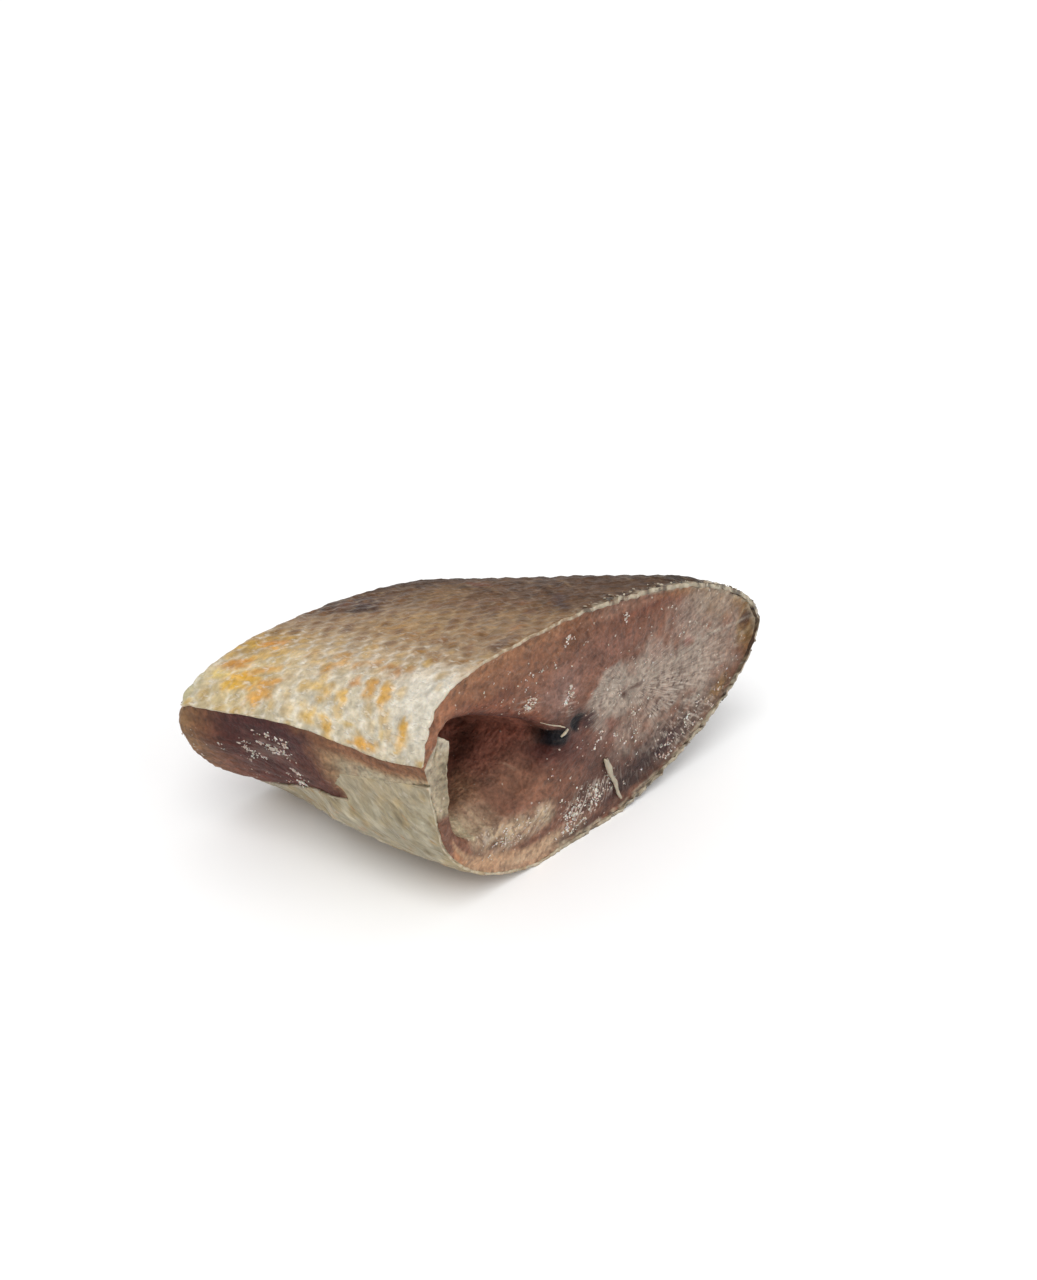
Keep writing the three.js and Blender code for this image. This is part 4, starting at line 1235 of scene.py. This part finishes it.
def build_scales():
    """Loose scales and scraps of skin along the sawn edge, each a thin closed disc."""
    rng = np.random.default_rng(171)
    bm = bmesh.new()
    upper = BAND + SHOULDER
    runs = ((upper + 32, upper + UPPER - 4, 60), (upper + UPPER + 2, COLUMNS - BELLY + 6, 150))
    for first, last, count in runs:
        for _ in range(count):
            column, depth = rng.uniform(first, last), rng.uniform(0, 1) ** 2 * 2.4
            at = [np.array(depth / LENGTH), np.array(column)]
            place, out = form.at(form.place, *at), Vector(form.at(form.normal, *at))
            reach = rng.uniform(0.18, 0.6)
            if place[2] < reach + 0.2:
                continue
            lean = Vector((rng.normal(0, 0.3), -rng.uniform(0.0, 0.8), rng.normal(0, 0.3)))
            facing = (out + lean).normalized().to_track_quat("Z", "Y")
            spot = Matrix.Translation(Vector(to_row_frame(place)) + out * 0.25 * MM)
            turn = Matrix.Rotation(rng.uniform(0, math.tau), 4, "Z")
            stretch = Matrix.Diagonal((1.0, rng.uniform(0.35, 0.8), 1.0, 1.0))
            bmesh.ops.create_cone(
                bm, cap_ends=True, segments=9, radius1=reach * MM,
                radius2=reach * 0.75 * MM, depth=rng.uniform(0.08, 0.2) * MM,
                matrix=spot @ facing.to_matrix().to_4x4() @ turn @ stretch)
    return finish_mesh("loose_scales", bm)


def strand(name, points, widths, depth, seed, around=10):
    """A closed strand that follows points, with its own width at each, laid on the cut."""
    points = np.array(points, float)
    run = np.r_[0, np.cumsum(np.linalg.norm(np.diff(points, axis=0), axis=1))]
    at = np.linspace(0, run[-1], 36)
    middle = np.stack([np.interp(at, run, points[:, i]) for i in range(3)], 1)
    width = np.interp(at, run, widths)
    width[0] = width[-1] = 0.0
    along = np.gradient(middle, axis=0)
    side = np.cross(along, (0, 1, 0))
    side /= np.linalg.norm(side, axis=1, keepdims=True)
    angle = np.linspace(0, math.tau, around + 1)
    bumpy = 1 + 0.3 * noise(at[:, None] + 0 * angle, np.cos(angle) * 2 + 0 * at[:, None],
                            0.8, seed)
    across = np.cos(angle) * width[:, None] * bumpy
    out = np.sin(angle) * np.minimum(width, depth)[:, None]
    place = (middle[:, None] + side[:, None] * across[..., None] / 2
             + np.array([0, 1, 0]) * out[..., None] / 2)
    place[:, -1] = place[:, 0]
    shade = Paint(place.shape[:2], "#a89d88", 0.5)
    shade.shade(0.15 * noise(at[:, None] + 0 * angle, angle + 0 * at[:, None], 0.9, seed))
    return shaped_grid(name, place, paint_attributes(shade), closed=True)


# Materials ----------------------------------------------------------------------------------

def add_node(tree, kind, inputs=(), **settings):
    """Adds a node with its settings and links, and returns its outputs.

    Each input, given in order or by name, is a value or another node's output.
    """
    node = tree.nodes.new("ShaderNode" + kind)
    for key, value in settings.items():
        setattr(node, key, value)
    for key, value in inputs.items() if isinstance(inputs, dict) else enumerate(inputs):
        if isinstance(value, bpy.types.NodeSocket):
            tree.links.new(value, node.inputs[key])
        else:
            node.inputs[key].default_value = value
    return node.outputs


def new_material(name):
    """A material without nodes, and the function that adds them."""
    material = bpy.data.materials.new(name)
    material.use_nodes = True
    material.node_tree.nodes.clear()
    return material, partial(add_node, material.node_tree)


def rgba(colour):
    return (*(float(c) for c in (linear(colour) if isinstance(colour, str) else colour)), 1)


def patch_scale(size_mm):
    """The scale of a noise whose patches are about size_mm across."""
    return 0.5 / (size_mm * MM)


def mottle(add, place, colour, sizes):
    """The colour in lighter and darker patches, and the patches: size, least, most."""
    patches, tint = [], None
    for size_mm, least, most in sizes:
        patches.append(add("TexNoise", {
            "Vector": place, "Scale": patch_scale(size_mm), "Detail": 2.0})["Fac"])
        share = add("MapRange", (patches[-1], 0.3, 0.7, least, most))[0]
        if tint is not None:
            share = add("Math", (tint, share), operation="MULTIPLY")[0]
        tint = share
    base = add("Mix", {0: 1.0, 6: colour, 7: tint}, data_type="RGBA", blend_type="MULTIPLY")
    return base[2], patches


def stain(add, base, colour, *amounts):
    """The base with a colour over it, as much as the product of the amounts."""
    amount, *others = amounts
    for other in others:
        amount = add("Math", (amount, other), operation="MULTIPLY")[0]
    return add("Mix", {0: amount, 6: base, 7: rgba(colour)}, data_type="RGBA")[2]


def jitter(add, vector, size_mm, reach_mm):
    """The vector shaken by up to half of reach_mm, so that cells aren't round."""
    patch = add("TexNoise", {
        "Vector": vector, "Scale": patch_scale(size_mm), "Detail": 1.0})["Color"]
    shake = add("VectorMath", (patch, (0.5, 0.5, 0.5)), operation="SUBTRACT")[0]
    small = add("VectorMath", {0: shake, "Scale": reach_mm * 2 * MM}, operation="SCALE")[0]
    return add("VectorMath", (vector, small))[0]


def flecks(add, vector, cell_mm, share, reach):
    """1 in a fleck and 0 between: a share of the cells holds one, up to reach cells wide."""
    cells = add("TexVoronoi", {"Vector": vector, "Scale": 1 / (cell_mm * MM)})
    odds = add("SeparateColor", (cells["Color"],))
    size = add("MapRange", (odds["Green"], 0, 1, 0.35 * reach, reach))[0]
    out = add("Math", (cells["Distance"], size), operation="DIVIDE")[0]
    inside = add("MapRange", (out, 0.6, 1.0, 1.0, 0.0))[0]
    chosen = add("Math", (odds["Red"], share), operation="LESS_THAN")[0]
    return add("Math", (inside, chosen), operation="MULTIPLY")[0]


def flesh_material():
    """Fish muscle, frozen hard and sawn: matt where rime has dried it, moist elsewhere."""
    material, add = new_material("frozen_fish_muscle")
    colour = add("Attribute", attribute_name="colour")
    frost_and_glint = add("Attribute", attribute_name="frost_and_glint")["Fac"]
    grit = add("Attribute", attribute_name="grit")["Fac"]
    place = add("TexCoord")["Object"]
    base, (_, grain, fine) = mottle(add, place, colour["Color"], (
        (2.6, 0.88, 1.12), (1.0, 0.82, 1.18), (0.42, 0.74, 1.26)))
    # Small holes where the saw tore the fibres, painted dark as the shade inside them
    torn = add("TexNoise", {"Vector": place, "Scale": patch_scale(0.7), "Detail": 1.0})
    pit_shade = add("MapRange", (torn["Fac"], 0.33, 0.42, 0.8, 0.0))[0]
    base = stain(add, base, "#3b2722", pit_shade, grit)
    # Radiating hairs of rime, which follow the muscle's fibres away from the backbone
    x, _, z = add("SeparateXYZ", (place,))
    hub = to_row_frame(HAIR_HUB)
    across = add("Math", (x, float(hub[0])), operation="SUBTRACT")[0]
    up = add("Math", (z, float(hub[2])), operation="SUBTRACT")[0]
    turn = add("Math", (across, up), operation="ARCTAN2")[0]
    spoke = add("CombineXYZ", (across, up))[0]
    far = add("VectorMath", (spoke,), operation="LENGTH")["Value"]
    round_ = add("Math", (turn, 0.022), operation="MULTIPLY")[0]
    outward = add("Math", (far, 0.18), operation="MULTIPLY")[0]
    fan = add("CombineXYZ", (round_, outward))[0]
    hairs = add("TexNoise", {"Vector": fan, "Scale": patch_scale(0.28), "Detail": 2.0})["Fac"]
    combed = add("Math", (grit, 1.4), operation="MULTIPLY")[0]
    combed = add("Math", (frost_and_glint, combed), operation="MULTIPLY")[0]
    light = add("MapRange", (hairs, 0.52, 0.64, 0.0, 0.8))[0]
    dark = add("MapRange", (hairs, 0.36, 0.46, 0.95, 0.0))[0]
    base = stain(add, base, "#b9aca0", light, combed)
    base = stain(add, base, "#5a4640", dark, combed)
    # Ice grains too small to stand out, more of them where the cut has more frost
    bent = jitter(add, place, 0.9, 0.5)
    few = add("Math", (frost_and_glint, 0.5), operation="MULTIPLY")[0]
    more = add("Math", (frost_and_glint, 0.55), operation="MULTIPLY")[0]
    small, large = flecks(add, bent, 0.75, few, 0.40), flecks(add, bent, 1.7, more, 0.30)
    base = stain(add, base, "#c3b3a4", small, 0.75)
    base = stain(add, base, "#cfc3b6", large, 0.85)
    rise = add("Math", (grain, 1.8), operation="MULTIPLY")[0]
    height = add("Math", (fine, rise), operation="ADD")[0]
    stones = add("Math", (large, 0.4), operation="MULTIPLY")[0]
    height = add("Math", (height, stones), operation="ADD")[0]
    bump = add("Bump", {"Height": height, "Strength": 0.8, "Distance": 0.0004})["Normal"]
    shader = add("BsdfPrincipled", {
        "Base Color": base, "Normal": bump,
        "Roughness": add("MapRange", (colour["Alpha"], 0.0, 1.0, 0.75, 0.36))[0],
        "IOR": 1.38, "Subsurface Weight": 0.12, "Subsurface Radius": (1.0, 0.35, 0.2),
        "Subsurface Scale": 0.0008, "Specular IOR Level": 0.28,
    })
    add("OutputMaterial", {"Surface": shader["BSDF"]})
    return material


def skin_material():
    """Fish skin under a thin glaze of ice: soft mottles, small pale flecks that are painted
    glints, and dark flecks.
    """
    material, add = new_material("iced_fish_skin")
    colour = add("Attribute", attribute_name="colour")
    frost_and_glint = add("Attribute", attribute_name="frost_and_glint")["Fac"]
    grit = add("Attribute", attribute_name="grit")["Fac"]
    place = add("Attribute", attribute_name="on_skin")["Vector"]
    base, (coarse, grain, fine) = mottle(add, place, colour["Color"], (
        (2.8, 0.9, 1.1), (1.2, 0.82, 1.18), (0.5, 0.84, 1.16)))
    # Short strokes that lie aslant the body: pale ones are painted glints, dark ones are scale
    # edges
    slanted = add("Mapping", {
        "Vector": jitter(add, place, 1.2, 0.25), "Rotation": (0, 0, math.radians(-38)),
        "Scale": (0.5, 1.0, 1.0)})["Vector"]
    glint_noise = add("TexNoise", {"Vector": slanted, "Scale": patch_scale(0.55), "Detail": 2.5})
    edges = add("TexNoise", {"Vector": slanted, "Scale": patch_scale(1.3), "Detail": 2.0})
    painted_highlight = add("MapRange", (glint_noise["Fac"], 0.57, 0.72, 0, 1))[0]
    painted_highlight = add("Math", (painted_highlight, frost_and_glint), operation="MULTIPLY")[0]
    murky = add("MapRange", (edges["Fac"], 0.42, 0.32, 0, 1))[0]
    # Painted glints, near white
    base = stain(add, base, "#ece5d7", painted_highlight, 0.5)
    base = stain(add, base, "#3f2c21", murky, grit, 0.6)
    height = add("Math", (grain, coarse), operation="ADD")[0]
    for part, share in ((fine, 0.6), (painted_highlight, 0.5)):
        rise = add("Math", (part, share), operation="MULTIPLY")[0]
        height = add("Math", (height, rise), operation="ADD")[0]
    bump = add("Bump", {"Height": height, "Strength": 0.8, "Distance": 0.0006})["Normal"]
    shader = add("BsdfPrincipled", {
        "Base Color": base, "Normal": bump,
        "Roughness": add("MapRange", (colour["Alpha"], 0.0, 1.0, 0.66, 0.34))[0],
        "IOR": 1.4, "Subsurface Weight": 0.1, "Subsurface Radius": (1.0, 0.6, 0.35),
        "Subsurface Scale": 0.001, "Specular IOR Level": 0.15, "Coat Weight": 0.04,
        "Coat Roughness": 0.18, "Coat IOR": 1.31,
    })
    add("OutputMaterial", {"Surface": shader["BSDF"]})
    return material


def skin_edge_material():
    """The sawn thickness of the skin: tough and fibrous, pale in some places only."""
    material, add = new_material("sawn_skin_edge")
    colour = add("Attribute", attribute_name="colour")["Color"]
    place = add("TexCoord")["Object"]
    patch = add("TexNoise", {"Vector": place, "Scale": patch_scale(0.8), "Detail": 3.0})["Fac"]
    base = stain(add, colour, "#c2b69f", add("MapRange", (patch, 0.45, 0.6, 0.15, 0.75))[0])
    grain = add("TexNoise", {"Vector": place, "Scale": patch_scale(0.5), "Detail": 2.0})["Fac"]
    bump = add("Bump", {"Height": grain, "Strength": 0.4, "Distance": 0.0002})["Normal"]
    shader = add("BsdfPrincipled", {
        "Base Color": base, "Normal": bump, "Roughness": 0.5, "IOR": 1.4,
        "Subsurface Weight": 0.1, "Subsurface Scale": 0.001})
    add("OutputMaterial", {"Surface": shader["BSDF"]})
    return material


def scale_material():
    """Loose croaker scales: thin horn, pale grey to tan, some nearly black with pigment."""
    material, add = new_material("fish_scale")
    place = add("TexCoord")["Object"]
    tone, dark, grain = (add("TexNoise", {
        "Vector": place, "Scale": patch_scale(size), "Detail": detail})["Fac"]
        for size, detail in ((1.9, 1.0), (1.2, 1.0), (0.4, 2.0)))
    pale = add("MapRange", (tone, 0.4, 0.6, 0, 1))[0]
    base = stain(add, rgba("#85705a"), "#b9ae99", pale)
    base = stain(add, base, "#26201e", add("MapRange", (dark, 0.55, 0.6, 0, 0.9))[0])
    bump = add("Bump", {"Height": grain, "Strength": 0.4, "Distance": 0.0001})["Normal"]
    shader = add("BsdfPrincipled", {"Base Color": base, "Normal": bump, "Roughness": 0.45,
                                    "IOR": 1.45, "Specular IOR Level": 0.4})
    add("OutputMaterial", {"Surface": shader["BSDF"]})
    return material


def rime_material():
    """Frost: small grains of ice, white with a warm cast from the flesh behind them."""
    material, add = new_material("rime")
    place = add("TexCoord")["Object"]
    patch = add("TexNoise", {"Vector": place, "Scale": patch_scale(0.8), "Detail": 2.0})["Fac"]
    white = add("MapRange", (patch, 0.35, 0.65, 0, 1))[0]
    shader = add("BsdfPrincipled", {
        "Base Color": stain(add, rgba("#a8968a"), "#ddd3c9", white), "Roughness": 0.45,
        "IOR": 1.31, "Specular IOR Level": 0.4, "Subsurface Weight": 0.3,
        "Subsurface Scale": 0.0005})
    add("OutputMaterial", {"Surface": shader["BSDF"]})
    return material


def sinew_material():
    """Tendon: pale, dense and a little shiny."""
    material, add = new_material("sinew")
    colour = add("Attribute", attribute_name="colour")["Color"]
    place = add("TexCoord")["Object"]
    base = mottle(add, place, colour, ((0.5, 0.85, 1.12),))[0]
    shader = add("BsdfPrincipled", {"Base Color": base, "Roughness": 0.4, "IOR": 1.4,
                                    "Subsurface Weight": 0.15, "Subsurface Scale": 0.0008})
    add("OutputMaterial", {"Surface": shader["BSDF"]})
    return material


def floor_material(colour):
    """A matt white photographer's sweep."""
    material, add = new_material("matt_white_paper")
    place = add("TexCoord")["Object"]
    fibre = add("TexNoise", {"Vector": place, "Scale": patch_scale(4.0), "Detail": 2.0})["Fac"]
    tone = add("MapRange", (fibre, 0.3, 0.7, 0, 0.04))[0]
    base = stain(add, rgba(colour), "#f4f4f2", tone)
    shader = add("BsdfPrincipled", {"Base Color": base, "Roughness": 0.9})
    add("OutputMaterial", {"Surface": shader["BSDF"]})
    return material


# The add-on's settings, operators and panel --------------------------------------------------

class SteakSettings(PropertyGroup):
    skin_thickness: FloatProperty(
        name="Skin thickness", description="Thickness of the fish's skin",
        default=0.00065, unit="LENGTH", min=0.0003, max=0.0012)
    floor_colour: FloatVectorProperty(
        name="Floor", description="Colour of the floor", subtype="COLOR",
        default=tuple(linear("#fbfbfb")), min=0, max=1)
    key_power: FloatProperty(
        name="Key light", description="Power of the main soft light", default=83.0,
        unit="POWER")
    fill_power: FloatProperty(
        name="Fill light", description="Power of the light that opens the shadows",
        default=38.0, unit="POWER")
    sky_strength: FloatProperty(
        name="Surround", description="Strength of the even light from all round",
        default=0.74)


class STEAK_OT_flesh(Operator):
    """Builds the flesh: both cuts, the trimmed belly and the gut cavity"""
    bl_idname = "steak.flesh"
    bl_label = "Flesh"

    def execute(self, context):
        flesh = build_flesh()
        flesh.data.materials.append(flesh_material())
        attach(flesh, "root")
        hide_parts("steak")
        return {"FINISHED"}


class STEAK_OT_skin(Operator):
    """Builds the skin that covers both flanks and the lower flap"""
    bl_idname = "steak.skin"
    bl_label = "Skin"

    def execute(self, context):
        settings = context.scene.croaker_steak
        skin = build_skin(settings.skin_thickness / MM)
        skin.data.materials.append(skin_material())
        skin.data.materials.append(skin_edge_material())
        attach(skin, "root")
        return {"FINISHED"}


class STEAK_OT_scales(Operator):
    """Scatters loose scales along the sawn edge of the skin"""
    bl_idname = "steak.scales"
    bl_label = "Loose scales"

    def execute(self, context):
        scales = build_scales()
        scales.data.materials.append(scale_material())
        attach(scales, "root")
        return {"FINISHED"}


class STEAK_OT_sinew(Operator):
    """Builds the strands of sinew that stand out from the near cut"""
    bl_idname = "steak.sinew"
    bl_label = "Sinew"

    def execute(self, context):
        finish = sinew_material()
        strands = (
            ("tendon", ((48.7, 0.0, 15.7), (49.3, -0.3, 14.6), (50.0, -0.4, 12.8),
                        (50.5, -0.5, 11.0), (51.7, -0.5, 8.8), (52.5, -0.4, 6.4),
                        (53.3, -0.3, 4.6), (54.3, -0.1, 3.2)),
             (0.3, 1.2, 1.7, 0.8, 1.15, 0.7, 0.9, 0.5), 0.5, 161),
            ("tendon_fork", ((49.7, 0.0, 15.3), (49.8, -0.3, 14.5), (50.1, -0.4, 13.4)),
             (0.2, 0.5, 0.7), 0.35, 164),
            ("pocket_sinew", ((31.0, 0.6, 32.6), (33.4, 0.2, 31.0), (36.0, 0.0, 29.6),
                              (37.6, 0.1, 28.4)), (0.1, 0.22, 0.28, 0.3), 0.25, 162),
            ("marrow_bead", ((36.2, 0.0, 27.0), (37.1, -0.3, 27.6), (38.2, 0.0, 27.9)),
             (0.35, 0.75, 0.45), 0.6, 163),
        )
        for name, points, widths, depth, seed in strands:
            piece = strand(name, points, widths, depth, seed)
            piece.data.materials.append(finish)
            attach(piece, "root")
        return {"FINISHED"}


class STEAK_OT_frost(Operator):
    """Scatters grains of rime over the cuts"""
    bl_idname = "steak.frost"
    bl_label = "Frost"

    def execute(self, context):
        rime = build_frost()
        rime.data.materials.append(rime_material())
        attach(rime, "root")
        return {"FINISHED"}


class STEAK_OT_stage(Operator):
    """Sets the floor, the lights, the surround and the camera"""
    bl_idname = "steak.stage"
    bl_label = "Stage"

    def execute(self, context):
        settings = context.scene.croaker_steak
        bm = bmesh.new()
        bmesh.ops.create_grid(bm, x_segments=1, y_segments=1, size=FLOOR_REACH)
        floor = finish_mesh("floor", bm)
        floor.data.materials.append(floor_material(settings.floor_colour))
        self.light("key", KEY_PLACE, settings.key_power)
        self.light("fill", FILL_PLACE, settings.fill_power)
        world = bpy.data.worlds.new("surround")
        world.use_nodes = True
        back = world.node_tree.nodes["Background"]
        back.inputs["Color"].default_value = rgba("#ffffff")
        back.inputs["Strength"].default_value = settings.sky_strength
        context.scene.world = world
        context.scene.view_settings.view_transform = "Standard"
        self.camera(context.scene)
        return {"FINISHED"}

    def light(self, name, place, watts):
        data = bpy.data.lights.new(name, "AREA")
        data.energy, data.size = watts, LIGHT_SIZE
        self.point(new_object(name, data), place, LIGHT_AIM)

    def camera(self, scene):
        data = bpy.data.cameras.new("camera")
        data.lens, data.sensor_width, data.clip_start = LENS, SENSOR, NEAREST
        scene.camera = new_object("camera", data)
        self.point(scene.camera, CAMERA_PLACE, CAMERA_AIM)

    def point(self, thing, place, aim):
        thing.location = place
        thing.rotation_euler = (Vector(aim) - thing.location).to_track_quat(
            "-Z", "Y").to_euler()


class STEAK_PT_panel(Panel):
    """Lists the steak's pieces in the order in which they are built"""
    bl_label = "Croaker steak"
    bl_idname = "STEAK_PT_panel"
    bl_space_type = "VIEW_3D"
    bl_region_type = "UI"
    bl_category = "Steak"

    def draw(self, context):
        settings = context.scene.croaker_steak
        for name in SteakSettings.__annotations__:
            self.layout.prop(settings, name)
        for operator in OPERATORS:
            self.layout.operator(operator.bl_idname)


OPERATORS = (STEAK_OT_flesh, STEAK_OT_skin, STEAK_OT_scales, STEAK_OT_sinew, STEAK_OT_frost,
             STEAK_OT_stage)
CLASSES = (SteakSettings, *OPERATORS, STEAK_PT_panel)


def register():
    for item in CLASSES:
        bpy.utils.register_class(item)
    bpy.types.Scene.croaker_steak = PointerProperty(type=SteakSettings)


def unregister():
    del bpy.types.Scene.croaker_steak
    for item in reversed(CLASSES):
        bpy.utils.unregister_class(item)


def main():
    register()
    bpy.ops.steak.flesh()
    bpy.ops.steak.skin()
    bpy.ops.steak.scales()
    bpy.ops.steak.sinew()
    bpy.ops.steak.frost()
    bpy.ops.steak.stage()


if __name__ == "__main__":
    main()
